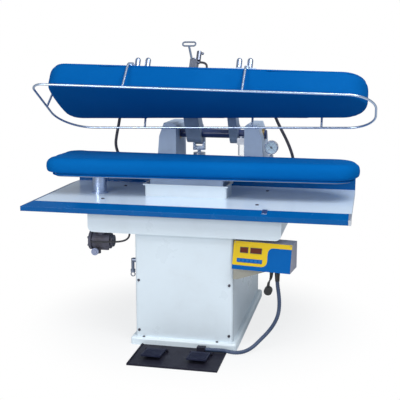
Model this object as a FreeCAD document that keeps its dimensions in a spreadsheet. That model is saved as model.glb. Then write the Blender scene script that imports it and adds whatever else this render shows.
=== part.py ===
import FreeCAD, Part
import math
import os

import Sketcher

# Floor-standing laundry press. Millimetres, +Z up, +Y towards the back, X across the operator.
# The origin is on the floor under the middle of the cabinet. The head stands open, as it rests.

V = FreeCAD.Vector
DOC = FreeCAD.newDocument("laundry_press")
NODES = []

# Driving dimensions: alias, value
DIMENSIONS = {
    # Cabinet and plinth
    "cabinet_width": 476, "cabinet_depth": 861, "cabinet_height": 513, "cabinet_corner": 14,
    "sheet_metal": 3, "panel_depth": 16, "panel_screw_inset": 17, "panel_screw_high": 232,
    "panel_screw_low": 482, "screw_head_dia": 13, "screw_head_height": 3.5, "screw_shank_dia": 6,
    "screw_play": 0.2, "screw_slot": 1.6, "screw_slot_depth": 1, "panel_gap": 0.3,
    "plinth_height": 38, "plinth_lip": 22, "plinth_rim": 14, "plinth_edge": 12, "plinth_wall": 6,
    # Chassis box under the table
    "chassis_width": 926, "chassis_overhang": 26, "chassis_height": 112,
    "chassis_corner": 28, "chassis_wall": 4,
    # Table
    "table_width": 1500, "table_depth": 612, "table_thick": 30, "table_shift": 24, "table_overhang": 30,
    "trim_height": 42, "trim_out": 53, "trim_slope": 19, "trim_slope_in": 50, "trim_lip": 12,
    "upstand_height": 90, "upstand_thick": 12,
    # Suction duct, neck and post that carry the buck
    "duct_width": 410, "duct_depth": 150, "duct_height": 62, "duct_shift": 36, "duct_front": 228,
    "duct_wall": 4, "duct_flange": 7, "duct_flange_thick": 7, "neck_height": 31, "neck_inset": 22,
    "post_in": 234, "post_front": 276, "post_dia": 70, "post_flange_dia": 88, "post_flange_thick": 8,
    # Buck and head share one tapered plan with a round nose on the right
    "press_front": 311, "press_left_depth": 396, "press_right_depth": 264, "press_corner": 80,
    "press_bulge": 6, "buck_length": 1553, "buck_shift": 30.5, "buck_plate_thick": 14,
    "buck_plate_inset": 48, "buck_pad_thick": 80, "soft_gap": 0.3,
    "head_length": 1571, "head_shift": 40.5, "head_thick": 128, "head_gap": 2, "head_side_pad": 24,
    "head_face_pad": 28, "platen_thick": 20, "lid_wall": 3,
    # Uprights, shaft and levers
    "upright_gap": 372, "upright_width": 93, "upright_depth": 240, "upright_behind": 39.5,
    "upright_height": 352, "upright_wall": 14, "upright_flare": 30, "upright_chamfer": 26,
    "foot_out": 34, "foot_front": 21, "foot_thick": 16, "foot_bolt_dia": 10, "foot_bolt_head": 18,
    "foot_bolt_inset": 18, "foot_bolt_height": 6.5, "foot_bolt_play": 0.3,
    "shaft_behind": 119, "shaft_rise": 289, "shaft_dia": 48, "shaft_end": 12, "bush_wall": 8,
    "running_gap": 0.05, "open_angle": 31.5,
    "lever_hub_dia": 104, "main_lever_left": 105, "main_lever_width": 80, "side_lever_right": 117,
    "side_lever_width": 46, "lever_depth": 58, "lever_lift": 3, "lever_rear_drop": 47, "lever_clear": 12,
    "elbow_run": 38, "elbow_drop": 10, "heel_half": 20, "heel_back": 34, "main_rear_top": 35,
    "side_rear_top": 29,
    "tail_width": 40, "tail_radius": 107, "tail_angle": 11.5, "tail_depth": 62, "tail_end": 34,
    "tail_root": 43, "tail_tip": 50, "tail_rise": 50,
    "pin_dia": 16, "slot_play": 1.5, "slot_back": 5, "slot_run": 7,
    # Yoke, studs and dome nuts on the head
    "yoke_left": 372, "yoke_right": 290, "yoke_depth": 84, "yoke_height": 28, "yoke_front": 60,
    "yoke_wall": 8, "stud_dia": 16, "stud_play": 0.4, "nut_across": 38, "nut_height": 20, "dome_dia": 28,
    "dome_height": 58, "stud_one": 319, "stud_two": 266, "stud_three": 198, "stud_four": 252,
    # Guard rail round the head and its stays
    "rail_dia": 11, "rail_out": 42, "rail_left_out": 40, "rail_right_out": 36, "rail_drop": 19,
    "rail_front_bend": 60, "rail_rear_bend": 175, "rail_right_bend": 138, "stay_rise": 8, "stay_bend": 30,
    "clamp_size": 26, "clamp_inset": 28, "stay_grip": 4, "stay_lean": 32, "stay_foot": 0.2, "stay_left": 322,
    "stay_middle": 250, "stay_right": 600,
    # Air cylinder behind the main lever
    "barrel_dia": 60, "barrel_wall": 7, "barrel_height": 168, "rod_dia": 20, "piston_depth": 16,
    "piston_rest": 34, "clevis_ear": 12, "clevis_play": 1, "clevis_reach": 46, "clevis_block": 22,
    "clevis_depth": 32, "barrel_foot": 10, "barrel_foot_out": 9, "collar_height": 24, "collar_out": 4,
    "rod_gland": 16,
    # Steam valve with its lever on the head
    "valve_left": 28, "valve_width": 38, "valve_height": 92, "valve_stem_rise": 26, "lever_rod_dia": 11,
    "lever_rod_length": 112, "lever_lean": 17, "loop_width": 74, "loop_height": 30, "loop_rod_dia": 8,
    "pilot_dia": 24, "pilot_height": 50, "knob_arm": 18, "valve_pin_dia": 6, "valve_play": 1,
    "pivot_left": 4.5, "eye_dia": 16.5, "slot_room": 3, "slot_reach": 25, "bonnet_dia": 30,
    "bonnet_height": 8, "stub_dia": 16, "stub_length": 8, "stub_drop": 10, "knob_dia": 14,
    "knob_arm_dia": 9, "knob_rise": 40, "valve_hose_dia": 11,
    # Pressure gauge, air filter and hose unions
    "gauge_right": 331, "gauge_behind": 30.5, "gauge_rise": 234, "gauge_dia": 72, "gauge_depth": 30,
    "gauge_bezel": 5, "gauge_pocket": 10, "gauge_stem_dia": 14, "gauge_nut": 28, "gauge_nut_height": 14,
    "gauge_cap": 22, "gauge_cap_drop": 18, "dial_thick": 1.5, "dial_gap": 0.2, "dial_post_dia": 4,
    "dial_post_rise": 4.5, "needle_length": 26, "needle_width": 3, "needle_thick": 1, "needle_lift": 2.5,
    "needle_lean": 50, "glass_thick": 1.6, "glass_inset": 0.8,
    "filter_size": 42, "filter_height": 34, "filter_rise": 242, "filter_behind": 23, "bowl_dia": 36,
    "bowl_height": 60, "filter_cap_dia": 25, "filter_cap_height": 8, "bowl_drain_dia": 11, "bowl_drain": 10,
    "union_dia": 24, "union_height": 27, "union_nut": 36, "union_nut_height": 13.5, "hose_dia": 16,
    "left_union_out": 450, "right_union_out": 445, "union_behind": 89.5, "hose_straight": 34, "hose_rise": 50,
    "left_head_union": 480, "right_head_union": 330, "head_union_size": 32, "head_union_back": 170,
    "nozzle_dia": 24, "nozzle_length": 20,
    # Control box on its bracket
    "box_width": 276, "box_height": 126, "box_top_depth": 92, "box_slope": 34, "box_turn": 8,
    "box_top_drop": 13, "box_out": 6, "box_wall": 2, "mouth_rim": 10, "panel_thick": 2, "display_low": 77,
    "display_height": 22, "display_thick": 1.5, "first_left": 35, "first_right": 70, "second_left": 84,
    "second_right": 135, "keys_left": 21, "keys_right": 142, "keys_low": 33, "keys_high": 51,
    "bracket_width": 196, "bracket_depth": 76, "bracket_drop": 62, "bracket_thick": 4, "bracket_front": 34,
    "bracket_toe": 18, "gland_dia": 24, "gland_neck": 17, "gland_length": 14, "gland_nut": 8.5,
    "gland_front": 20, "plug_gland": 178, "pedal_gland": 206, "plug_lead_dia": 8, "pedal_hose_dia": 18,
    "air_tube_dia": 7, "plug_dia": 38, "plug_thick": 30, "plug_nose_dia": 16, "plug_nose": 14,
    "plug_pin_dia": 5, "plug_pin_length": 19, "plug_pin_spread": 9, "plug_pin_low": 5,
    # Foot pedals
    "pedal_plate_width": 420, "pedal_plate_depth": 259, "pedal_plate_thick": 5, "pedal_plate_shift": 8,
    "pedal_width": 92, "pedal_length": 116, "pedal_thick": 8, "pedal_lift": 9, "pedal_spread": 214,
    "pedal_front": 80, "pedal_pin_dia": 6, "pedal_ear": 8, "pedal_tilt": 5, "pedal_offset": 7,
    "pedal_barrel_dia": 14, "pedal_side_play": 1, "tread_drop": 1, "plate_rim": 4, "plate_rim_wall": 6,
    "socket_out": 112, "socket_front": 38, "socket_rise": 12, "socket_length": 40, "socket_width": 28,
    "socket_height": 26, "rib_first": 10, "rib_step": 13, "rib_width": 5, "rib_height": 1.5,
    "rib_inset": 6,
    # Steam trap under the table's left end, drain cock and inner machinery
    "trap_left": 470, "trap_length": 92, "trap_dia": 78, "trap_back": 96, "trap_drop": 62,
    "trap_flange_dia": 94, "trap_flange_thick": 12, "trap_neck_dia": 44, "trap_outlet_dia": 34,
    "trap_outlet_drop": 66, "trap_knob_dia": 36, "trap_knob_thick": 10, "trap_stem_dia": 12,
    "trap_cap_dia": 58, "trap_cap_length": 14, "trap_pad": 68, "trap_pad_thick": 6, "trap_web": 12,
    "trap_web_drop": 48, "trap_web_height": 23, "trap_web_length": 58, "trap_stem_rise": 16,
    "trap_knob_out": 16, "trap_knob_boss": 18, "trap_knob_boss_out": 3, "trap_lead_dia": 9,
    "trap_lead_out": 5, "trap_lead_run": 200, "trap_outlet_in": 20,
    "cock_drop": 142, "cock_back": 31, "cock_dia": 22, "cock_reach": 20, "cock_length": 60, "cock_pipe": 15.5,
    "cock_nut": 24, "cock_nut_height": 14, "cock_ring_dia": 20, "cock_ring_wire": 5, "cock_ring_drop": 11,
    "fan_dia": 300, "fan_width": 110, "fan_lift": 26, "fan_foot": 200, "fan_foot_sunk": 24, "motor_dia": 150,
    "motor_length": 170, "suction_dia": 110, "suction_play": 1,
}


class Size:
    """A length that carries its spreadsheet expression together with its present value."""

    def __init__(self, text, value):
        self.text = text
        self.value = float(value)

    def joined(self, sign, other, value):
        return Size("(%s %s %s)" % (self.text, sign, sized(other).text), value)

    def __add__(self, other):
        return self.joined("+", other, self.value + sized(other).value)

    def __sub__(self, other):
        return self.joined("-", other, self.value - sized(other).value)

    def __mul__(self, other):
        return self.joined("*", other, self.value * sized(other).value)

    def __truediv__(self, other):
        return self.joined("/", other, self.value / sized(other).value)

    def __neg__(self):
        return Size("(0 - %s)" % self.text, -self.value)

    def __radd__(self, other):
        return sized(other) + self

    def __rsub__(self, other):
        return sized(other) - self

    def __rmul__(self, other):
        return sized(other) * self

    def __float__(self):
        return self.value


def sized(number):
    if isinstance(number, Size):
        return number
    return Size("(%.9g)" % number, number)


def write_sheet():
    sheet = DOC.addObject("Spreadsheet::Sheet", "dims")
    for row, (alias, value) in enumerate(DIMENSIONS.items(), start=1):
        sheet.set("A%d" % row, alias)
        sheet.set("B%d" % row, str(value))
        sheet.setAlias("B%d" % row, alias)
    DOC.recompute()


class Sheet:
    """Reads a driving dimension by its alias."""

    def __getattr__(self, alias):
        return Size("dims.%s" % alias, DIMENSIONS[alias])


write_sheet()
D = Sheet()

# Levels and planes worked out from the driving dimensions
FRONT = -D.cabinet_depth / 2
BACK = D.cabinet_depth / 2
CABINET_TOP = D.plinth_height + D.cabinet_height
DECK = CABINET_TOP + D.chassis_height
TABLE_TOP = DECK + D.table_thick
TABLE_FRONT = FRONT - D.table_overhang
TABLE_BACK = TABLE_FRONT + D.table_depth
TABLE_LEFT = D.table_shift - D.table_width / 2
TABLE_RIGHT = D.table_shift + D.table_width / 2
CHASSIS_FRONT = FRONT - D.chassis_overhang
BUCK_BASE = TABLE_TOP + D.duct_height + D.neck_height
BUCK_SEAT = BUCK_BASE + D.buck_plate_thick
BUCK_TOP = BUCK_SEAT + D.soft_gap + D.buck_pad_thick
FACE = BUCK_TOP + D.head_gap
HEAD_TOP = FACE + D.head_thick
PRESS_MIDDLE = TABLE_FRONT + D.press_front
SHAFT_Z = DECK + D.shaft_rise
UPRIGHT_FRONT = TABLE_BACK + D.upright_behind
UPRIGHT_BACK = UPRIGHT_FRONT + D.upright_depth
SHAFT_Y = UPRIGHT_FRONT + D.shaft_behind
CHASSIS_DEPTH = UPRIGHT_BACK + D.foot_front - CHASSIS_FRONT
UNION_Y = TABLE_BACK + D.union_behind
FILTER_FRONT = UPRIGHT_FRONT + D.filter_behind
YOKE_FRONT = PRESS_MIDDLE - D.yoke_front - D.yoke_depth / 2
YOKE_BACK = YOKE_FRONT + D.yoke_depth
YOKE_TOP = HEAD_TOP + D.yoke_height
# Cutting tools run past the faces that they open by this much, and joined pieces reach into each other by it
OVER = 1.0
RIB_COUNT = 7
TILT = ("placement(vector(0; 0; 0); rotation(vector(1; 0; 0); -dims.open_angle); "
        "vector(0; %s; %s))" % (SHAFT_Y.text, SHAFT_Z.text))


def bind(item, name, size):
    item.setExpression(name, sized(size).text)


def place(item, x, y, z):
    bind(item, "Placement.Base.x", x)
    bind(item, "Placement.Base.y", y)
    bind(item, "Placement.Base.z", z)


def box(x, y, z, dx, dy, dz):
    item = DOC.addObject("Part::Box", "block")
    for name, size in (("Length", dx), ("Width", dy), ("Height", dz)):
        bind(item, name, size)
    place(item, x, y, z)
    return item


TURNS = {
    "Z": FreeCAD.Rotation(),
    "X": FreeCAD.Rotation(V(0, 1, 0), 90),
    "Y": FreeCAD.Rotation(V(1, 0, 0), -90),
}


def rod(axis, x, y, z, dia, length):
    item = DOC.addObject("Part::Cylinder", "rod")
    item.Placement = FreeCAD.Placement(V(), TURNS[axis])
    bind(item, "Radius", sized(dia) / 2)
    bind(item, "Height", length)
    place(item, x, y, z)
    return item


def ball(x, y, z, dia):
    item = DOC.addObject("Part::Sphere", "ball")
    bind(item, "Radius", sized(dia) / 2)
    place(item, x, y, z)
    return item


def hexagon(x, y, z, across, height):
    item = DOC.addObject("Part::Prism", "hexagon")
    item.Polygon = 6
    bind(item, "Circumradius", sized(across) / 2)
    bind(item, "Height", height)
    place(item, x, y, z)
    return item


def fuse(*items):
    item = DOC.addObject("Part::MultiFuse", "joined")
    item.Shapes = list(items)
    return item


def cut(base, *tools):
    item = DOC.addObject("Part::Cut", "hollowed")
    item.Base = base
    item.Tool = tools[0] if len(tools) == 1 else fuse(*tools)
    return item


def group(items):
    item = DOC.addObject("Part::Compound", "set")
    item.Links = list(items)
    return item


def shaped(shape):
    item = DOC.addObject("Part::Feature", "form")
    item.Shape = shape
    return item


def node(label, item, tilt=False):
    """Names one sub-part. A tilted one is drawn with the head closed and swung open about the shaft."""
    if tilt:
        item.setExpression("Placement", TILT)
    item.Label = label
    NODES.append(item)
    return item


def new_body():
    return DOC.addObject("PartDesign::Body", "body")


def sketch_in(body, plane, offset):
    sketch = body.newObject("Sketcher::SketchObject", "outline")
    support = [item for item in body.Origin.OriginFeatures if item.Role == plane][0]
    sketch.AttachmentSupport = [(support, "")]
    sketch.MapMode = "FlatFace"
    bind(sketch, "AttachmentOffset.Base.z", offset)
    return sketch


def draw_polygon(sketch, points):
    first = sketch.GeometryCount
    count = len(points)
    for index in range(count):
        start = points[index]
        end = points[(index + 1) % count]
        line = Part.LineSegment(V(float(start[0]), float(start[1]), 0), V(float(end[0]), float(end[1]), 0))
        sketch.addGeometry(line, False)
    for index in range(count):
        follower = first + (index + 1) % count
        sketch.addConstraint(Sketcher.Constraint("Coincident", first + index, 2, follower, 1))
    for index, point in enumerate(points):
        for kind, size in zip(("DistanceX", "DistanceY"), point):
            size = sized(size)
            constraint = Sketcher.Constraint(kind, -1, 1, first + index, 1, size.value)
            number = sketch.addConstraint(constraint)
            sketch.setExpression("Constraints[%d]" % number, size.text)


def pad(plane, outlines, offset, length):
    """A body padded from closed outlines on one of its origin planes; inner outlines are openings."""
    body = new_body()
    sketch = sketch_in(body, plane, offset)
    for points in outlines:
        draw_polygon(sketch, points)
    feature = body.newObject("PartDesign::Pad", "pad")
    feature.Profile = sketch
    bind(feature, "Length", length)
    DOC.recompute()
    return body


def pad_up(outlines, low, high):
    return pad("XY_Plane", outlines, low, high - low)


def pad_across(outlines, left, right):
    return pad("YZ_Plane", outlines, left, right - left)


def pad_back(outlines, front, back):
    return pad("XZ_Plane", outlines, -sized(back), back - front)


def turned(points, x, y, z):
    """A body of revolution about a vertical axis; points are radius and height."""
    body = new_body()
    sketch = sketch_in(body, "XZ_Plane", 0)
    draw_polygon(sketch, points)
    feature = body.newObject("PartDesign::Revolution", "turned")
    feature.Profile = sketch
    feature.ReferenceAxis = (sketch, ["V_Axis"])
    feature.Angle = 360
    place(body, x, y, z)
    DOC.recompute()
    return body


def round_edges(body, chosen, radius):
    """Rounds the edges of the body's tip that the test picks."""
    tip = body.Tip
    names = ["Edge%d" % number for number, edge in enumerate(tip.Shape.Edges, start=1) if chosen(edge)]
    feature = body.newObject("PartDesign::Fillet", "rounded")
    feature.Base = (tip, names)
    bind(feature, "Radius", radius)
    DOC.recompute()
    return body


def rectangle(x0, y0, x1, y1):
    return [(x0, y0), (x1, y0), (x1, y1), (x0, y1)]


def upright_edge(edge):
    bounds = edge.BoundBox
    return bounds.XLength < 1e-6 and bounds.YLength < 1e-6


def bent_path(points, radius=None):
    """Straight runs joined by tangent arcs. With no radius each arc is as large as its runs allow."""
    edges = []
    radii = []
    start = points[0]
    for before, corner, after in zip(points, points[1:], points[2:]):
        into = (corner - before).normalize()
        out = (after - corner).normalize()
        half = into.getAngle(out) / 2
        reach = 0.45 * min((corner - before).Length, (after - corner).Length)
        if radius is not None:
            reach = radius * math.tan(half)
        radii.append(reach / math.tan(half))
        first = corner - into * reach
        last = corner + out * reach
        inward = (out - into).normalize()
        depth = radii[-1] * (1 / math.cos(half) - 1)
        middle = corner + inward * depth
        edges.append(Part.LineSegment(start, first).toShape())
        edges.append(Part.Arc(first, middle, last).toShape())
        start = last
    edges.append(Part.LineSegment(start, points[-1]).toShape())
    return Part.Wire(edges), radii


def tube(points, dia, radius=None):
    path, radii = bent_path(points, radius)
    begin = path.Edges[0]
    direction = begin.tangentAt(begin.FirstParameter)
    section = Part.Wire([Part.makeCircle(dia / 2, points[0], direction)])
    shell = path.makePipeShell([section], True, False)
    return shell, path.Length, radii


def cord(label, points, size):
    dia = float(size)
    shape, length, radii = tube([V(*[float(value) for value in point]) for point in points], dia)
    expected = math.pi * dia * dia / 4 * length
    print("%s: length %.0f, radii %s, volume ratio %.4f"
          % (label, length, [round(value) for value in radii], shape.Volume / expected))
    return node(label, shaped(shape))


def cabinet():
    half_width = D.cabinet_width / 2
    lip_x = half_width + D.plinth_lip
    lip_y = BACK + D.plinth_lip
    rim = pad_up([rectangle(-lip_x, -lip_y, lip_x, lip_y)], sized(0), D.plinth_height)
    round_edges(rim, upright_edge, D.plinth_rim)
    top_z = float(D.plinth_height)
    round_edges(rim, lambda edge: abs(edge.BoundBox.ZMin - top_z) < 1e-6, D.plinth_edge)
    inner_x = half_width - D.plinth_wall * 2
    inner_y = BACK - D.plinth_wall * 2
    tray = box(-inner_x, -inner_y, D.plinth_wall, inner_x * 2, inner_y * 2, D.plinth_height)
    node("base_plinth", cut(rim, tray))

    outer = rectangle(-half_width, D.plinth_height, half_width, CABINET_TOP)
    wall = D.sheet_metal
    inner = rectangle(-half_width + wall, D.plinth_height + wall, half_width - wall, CABINET_TOP - wall)
    suction = rod("Z", -D.duct_shift, duct_middle(), CABINET_TOP - wall - OVER, suction_hole(),
                  wall + 2 * OVER)
    node("cabinet_shell", cut(pad_back([outer, inner], FRONT + D.panel_depth, BACK), suction))

    panel = pad_up([rectangle(-half_width, FRONT, half_width, FRONT + D.panel_depth)],
                   D.plinth_height, CABINET_TOP)
    front_y = float(FRONT)
    round_edges(panel, lambda edge: upright_edge(edge) and edge.BoundBox.YMin < front_y + 1e-6,
                D.cabinet_corner)
    hollow = box(-half_width + D.cabinet_corner, FRONT + wall, D.plinth_height + wall,
                 (half_width - D.cabinet_corner) * 2, D.panel_depth, D.cabinet_height - wall * 2)
    screw_x = half_width - D.panel_screw_inset
    places = [(side * screw_x, CABINET_TOP - drop)
              for drop in (D.panel_screw_high, D.panel_screw_low) for side in (-1, 1)]
    bore = D.screw_shank_dia + D.screw_play * 2
    holes = [rod("Y", x, FRONT - OVER, z, bore, D.panel_depth + 2 * OVER) for x, z in places]
    node("front_panel", cut(panel, hollow, *holes))

    inset = wall + D.panel_gap
    node("rear_panel", box(-half_width + inset, BACK - wall, D.plinth_height + inset,
                           (half_width - inset) * 2, wall, D.cabinet_height - inset * 2))

    screws = []
    for x, z in places:
        head = rod("Y", x, FRONT - D.screw_head_height, z, D.screw_head_dia, D.screw_head_height)
        shank = rod("Y", x, FRONT, z, D.screw_shank_dia, D.panel_depth)
        slot = box(x - D.screw_head_dia / 2, FRONT - D.screw_head_height - OVER, z - D.screw_slot / 2,
                   D.screw_head_dia, D.screw_slot_depth + OVER, D.screw_slot)
        screws.append(cut(fuse(head, shank), slot))
    node("panel_screws", group(screws))


def duct_middle():
    return TABLE_FRONT + D.duct_front + D.duct_depth / 2


def suction_hole():
    return D.suction_dia + D.suction_play * 2


def chassis():
    half = D.chassis_width / 2
    outer = pad_back([rectangle(-half, CABINET_TOP, half, DECK)], CHASSIS_FRONT,
                     CHASSIS_FRONT + CHASSIS_DEPTH)
    low = float(CABINET_TOP)
    round_edges(outer, lambda edge: edge.BoundBox.ZMax < low + 1e-6 and edge.BoundBox.YLength > 1e-6,
                D.chassis_corner)
    inner_half = half - D.chassis_wall - D.chassis_corner / 3
    cavity = box(-inner_half, CHASSIS_FRONT + D.chassis_wall, CABINET_TOP + D.chassis_wall,
                 inner_half * 2, CHASSIS_DEPTH - D.chassis_wall * 2, D.chassis_height - D.chassis_wall * 2)
    suction = rod("Z", -D.duct_shift, duct_middle(), CABINET_TOP - OVER, suction_hole(),
                  D.chassis_height + 2 * OVER)
    node("chassis_box", cut(outer, cavity, suction))


def table():
    inset = D.duct_wall * 4
    opening = box(-D.duct_shift - D.duct_width / 2 + inset, duct_middle() - D.duct_depth / 2 + inset,
                  DECK - OVER, D.duct_width - inset * 2, D.duct_depth - inset * 2, D.table_thick + 2 * OVER)
    board = box(TABLE_LEFT, TABLE_FRONT, DECK, D.table_width, D.table_depth, D.table_thick)
    node("table_top", cut(board, opening))

    reach = D.trim_out
    low = TABLE_TOP - D.trim_height
    width = D.table_width + reach
    depth = D.table_depth + reach
    lower = box(TABLE_LEFT - reach, TABLE_FRONT - reach, low, width, depth, D.trim_height - D.trim_slope)
    upper = DOC.addObject("Part::Wedge", "slope")
    upper.Placement = FreeCAD.Placement(V(), FreeCAD.Rotation(V(1, 0, 0), 90))
    for name, size in (("Xmin", 0), ("Ymin", 0), ("Zmin", 0), ("X2min", D.trim_slope_in), ("Z2min", 0),
                       ("Xmax", width), ("Ymax", D.trim_slope), ("Zmax", depth),
                       ("X2max", width), ("Z2max", depth - D.trim_slope_in)):
        bind(upper, name, size)
    place(upper, TABLE_LEFT - reach, TABLE_BACK, TABLE_TOP - D.trim_slope)
    seat = box(TABLE_LEFT, TABLE_FRONT, DECK, D.table_width + OVER, D.table_depth + OVER,
               D.table_thick + OVER)
    lip = D.trim_lip
    below = box(TABLE_LEFT + lip, TABLE_FRONT + lip, low - OVER, D.table_width, D.table_depth,
                D.trim_height + OVER)
    front_room = box(-D.chassis_width / 2 - OVER, CHASSIS_FRONT, low - OVER, D.chassis_width + 2 * OVER,
                     D.table_depth, DECK - low + OVER)
    node("table_trim", cut(fuse(lower, upper), seat, below, front_room))

    thick = D.upstand_thick
    wall = box(TABLE_LEFT, TABLE_BACK, DECK, D.table_width, thick,
               D.table_thick + D.upstand_height - thick / 2)
    edge = rod("X", TABLE_LEFT, TABLE_BACK + thick / 2, TABLE_TOP + D.upstand_height - thick / 2,
               thick, D.table_width)
    node("rear_upstand", fuse(wall, edge))


def buck_carriers():
    left = -D.duct_shift - D.duct_width / 2
    front = TABLE_FRONT + D.duct_front
    wall = D.duct_wall
    shell = pad_up([rectangle(left, front, left + D.duct_width, front + D.duct_depth)],
                   TABLE_TOP, TABLE_TOP + D.duct_height)
    round_edges(shell, upright_edge, D.duct_flange)
    flange = box(left - D.duct_flange, front - D.duct_flange, TABLE_TOP + D.duct_height - D.duct_flange_thick,
                 D.duct_width + D.duct_flange * 2, D.duct_depth + D.duct_flange * 2, D.duct_flange_thick)
    bore = box(left + wall, front + wall, TABLE_TOP - OVER, D.duct_width - wall * 2, D.duct_depth - wall * 2,
               D.duct_height + 2 * OVER)
    node("buck_duct", cut(fuse(shell, flange), bore))
    inset = D.neck_inset
    neck = box(left + inset, front + inset, TABLE_TOP + D.duct_height - wall * 2, D.duct_width - inset * 2,
               D.duct_depth - inset * 2, D.neck_height + wall * 2)
    rim = box(left + wall, front + wall, TABLE_TOP + D.duct_height - wall * 3, D.duct_width - wall * 2,
              D.duct_depth - wall * 2, wall)
    flue = box(left + inset + wall, front + inset + wall, TABLE_TOP, D.duct_width - (inset + wall) * 2,
               D.duct_depth - (inset + wall) * 2, D.duct_height + D.neck_height)
    node("buck_neck", cut(fuse(neck, rim), flue))

    height = BUCK_BASE - TABLE_TOP
    radius = D.post_dia / 2
    flange_radius = D.post_flange_dia / 2
    node("buck_post", turned(
        [(0, 0), (flange_radius, 0), (flange_radius, D.post_flange_thick), (radius, D.post_flange_thick),
         (radius, height), (0, height)], TABLE_LEFT + D.post_in, TABLE_FRONT + D.post_front, TABLE_TOP))


def plan_wire(left, right, inset, level):
    """Tapered press plan: square left end with a slight bulge, round nose on the right."""
    middle = float(PRESS_MIDDLE)
    corner = max(float(D.press_corner) - inset / 2, 4.0)
    west = left + inset
    half_west = float(D.press_left_depth) / 2 - inset
    half_east = float(D.press_right_depth) / 2 - inset
    nose = right - inset - half_east
    slope = (half_east - half_west) / (nose - west)
    half_start = half_west + slope * corner
    bow = corner * (1 - math.sqrt(0.5))
    diagonal = half_east * math.sqrt(0.5)
    bulge = float(D.press_bulge)

    def at(x, y):
        return V(x, middle + y, level)

    front_start = at(west + corner, -half_start)
    front_end = at(nose, -half_east)
    rear_end = at(nose, half_east)
    rear_start = at(west + corner, half_start)
    rear_left = at(west, half_west - corner)
    front_left = at(west, corner - half_west)
    return Part.Wire([
        Part.LineSegment(front_start, front_end).toShape(),
        Part.Arc(front_end, at(nose + diagonal, -diagonal), at(nose + half_east, 0)).toShape(),
        Part.Arc(at(nose + half_east, 0), at(nose + diagonal, diagonal), rear_end).toShape(),
        Part.LineSegment(rear_end, rear_start).toShape(),
        Part.Arc(rear_start, at(west + bow, half_start - bow), rear_left).toShape(),
        Part.Arc(rear_left, at(west - bulge, 0), front_left).toShape(),
        Part.Arc(front_left, at(west + bow, bow - half_start), front_start).toShape(),
    ])


def buck_ends():
    half = float(D.buck_length) / 2
    return float(D.buck_shift) - half, float(D.buck_shift) + half


def head_ends():
    half = float(D.head_length) / 2
    return float(D.head_shift) - half, float(D.head_shift) + half


def prism(ends, inset, low, high):
    face = Part.Face(plan_wire(*ends, inset, low))
    return face.extrude(V(0, 0, high - low))


def padded(ends, profile, low, high):
    """Soft form lofted through plans; profile pairs a share of the height with a draw-in."""
    wires = [plan_wire(*ends, inset, low + share * (high - low)) for share, inset in profile]
    return Part.makeLoft(wires, True, False)


PAD_PROFILE = ((0.0, 12.0), (0.12, 4.0), (0.40, 0.0), (0.68, 3.0), (0.88, 14.0), (1.0, 42.0))
COVER_PROFILE = ((0.0, 26.0), (0.07, 8.0), (0.2, 1.0), (0.5, 0.0), (0.8, 1.0), (0.94, 8.0), (1.0, 16.0))


def buck():
    low = float(BUCK_BASE)
    seat = float(BUCK_SEAT)
    node("buck_plate", shaped(prism(buck_ends(), float(D.buck_plate_inset), low, seat)))
    bottom = seat + float(D.soft_gap)
    node("buck_pad", shaped(padded(buck_ends(), PAD_PROFILE, bottom, float(BUCK_TOP))))


def head():
    ends = head_ends()
    face = float(FACE)
    top = float(HEAD_TOP)
    gap = float(D.soft_gap)
    seat = face + float(D.head_face_pad)
    pad_inset = float(D.head_side_pad)
    cover = padded(ends, COVER_PROFILE, face, top)
    pocket = prism(ends, pad_inset, seat, top + OVER)
    node("head_cover", shaped(cover.cut(pocket)), tilt=True)
    platen_top = seat + gap + float(D.platen_thick)
    node("head_platen", shaped(prism(ends, pad_inset + gap, seat + gap, platen_top)), tilt=True)
    wall = float(D.lid_wall)
    lid = prism(ends, pad_inset + gap, platen_top, top)
    inside = prism(ends, pad_inset + gap + wall, platen_top - OVER, top - wall)
    node("head_lid", shaped(lid.cut(inside)), tilt=True)


def upright(label, side):
    """Cast upright with a flared skirt, a chamfered top, a cored back and a bolted foot."""
    inner = D.upright_gap / 2
    outer = inner + D.upright_width
    top = DECK + D.upright_height
    foot = DECK + D.foot_thick
    outline = [
        (side * inner, DECK),
        (side * (outer + D.upright_flare), DECK),
        (side * (outer + D.upright_flare), foot),
        (side * (outer + D.upright_flare / 3), DECK + D.upright_height * 0.45),
        (side * outer, DECK + D.upright_height * 0.8),
        (side * (outer - D.upright_chamfer), top),
        (side * (inner + D.upright_chamfer / 2), top),
        (side * inner, top - D.upright_chamfer / 2),
    ]
    casting = pad_back([outline], UPRIGHT_FRONT, UPRIGHT_BACK)
    foot_left = inner if side > 0 else -outer - D.foot_out
    plate = box(foot_left, UPRIGHT_FRONT - D.foot_front, DECK, D.upright_width + D.foot_out,
                D.upright_depth + D.foot_front * 2, D.foot_thick)
    wall = D.upright_wall
    core_left = inner + wall if side > 0 else -outer + wall
    bush = D.shaft_dia + D.bush_wall * 2
    core = box(core_left, UPRIGHT_FRONT + wall, DECK + wall * 2, D.upright_width - wall * 2,
               D.upright_depth + D.foot_front, D.shaft_rise - bush / 2 - wall * 3)
    span = D.upright_width + D.upright_flare
    span_left = inner - OVER if side > 0 else -inner - span
    bore = rod("X", span_left, SHAFT_Y, SHAFT_Z, bush + D.running_gap * 2, span + OVER)
    hole_dia = D.foot_bolt_dia + D.foot_bolt_play * 2
    holes = [rod("Z", side * x, y, DECK - OVER, hole_dia, D.foot_thick + 2 * OVER)
             for x in foot_bolt_columns() for y in foot_bolt_rows()]
    node(label, cut(fuse(casting, plate), core, bore, *holes))


def foot_bolt_columns():
    inner = D.upright_gap / 2
    return (inner + D.foot_bolt_inset, inner + D.upright_width + D.foot_out - D.foot_bolt_inset)


def foot_bolt_rows():
    return (UPRIGHT_FRONT - D.foot_front / 2, UPRIGHT_BACK + D.foot_front / 2)


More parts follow.
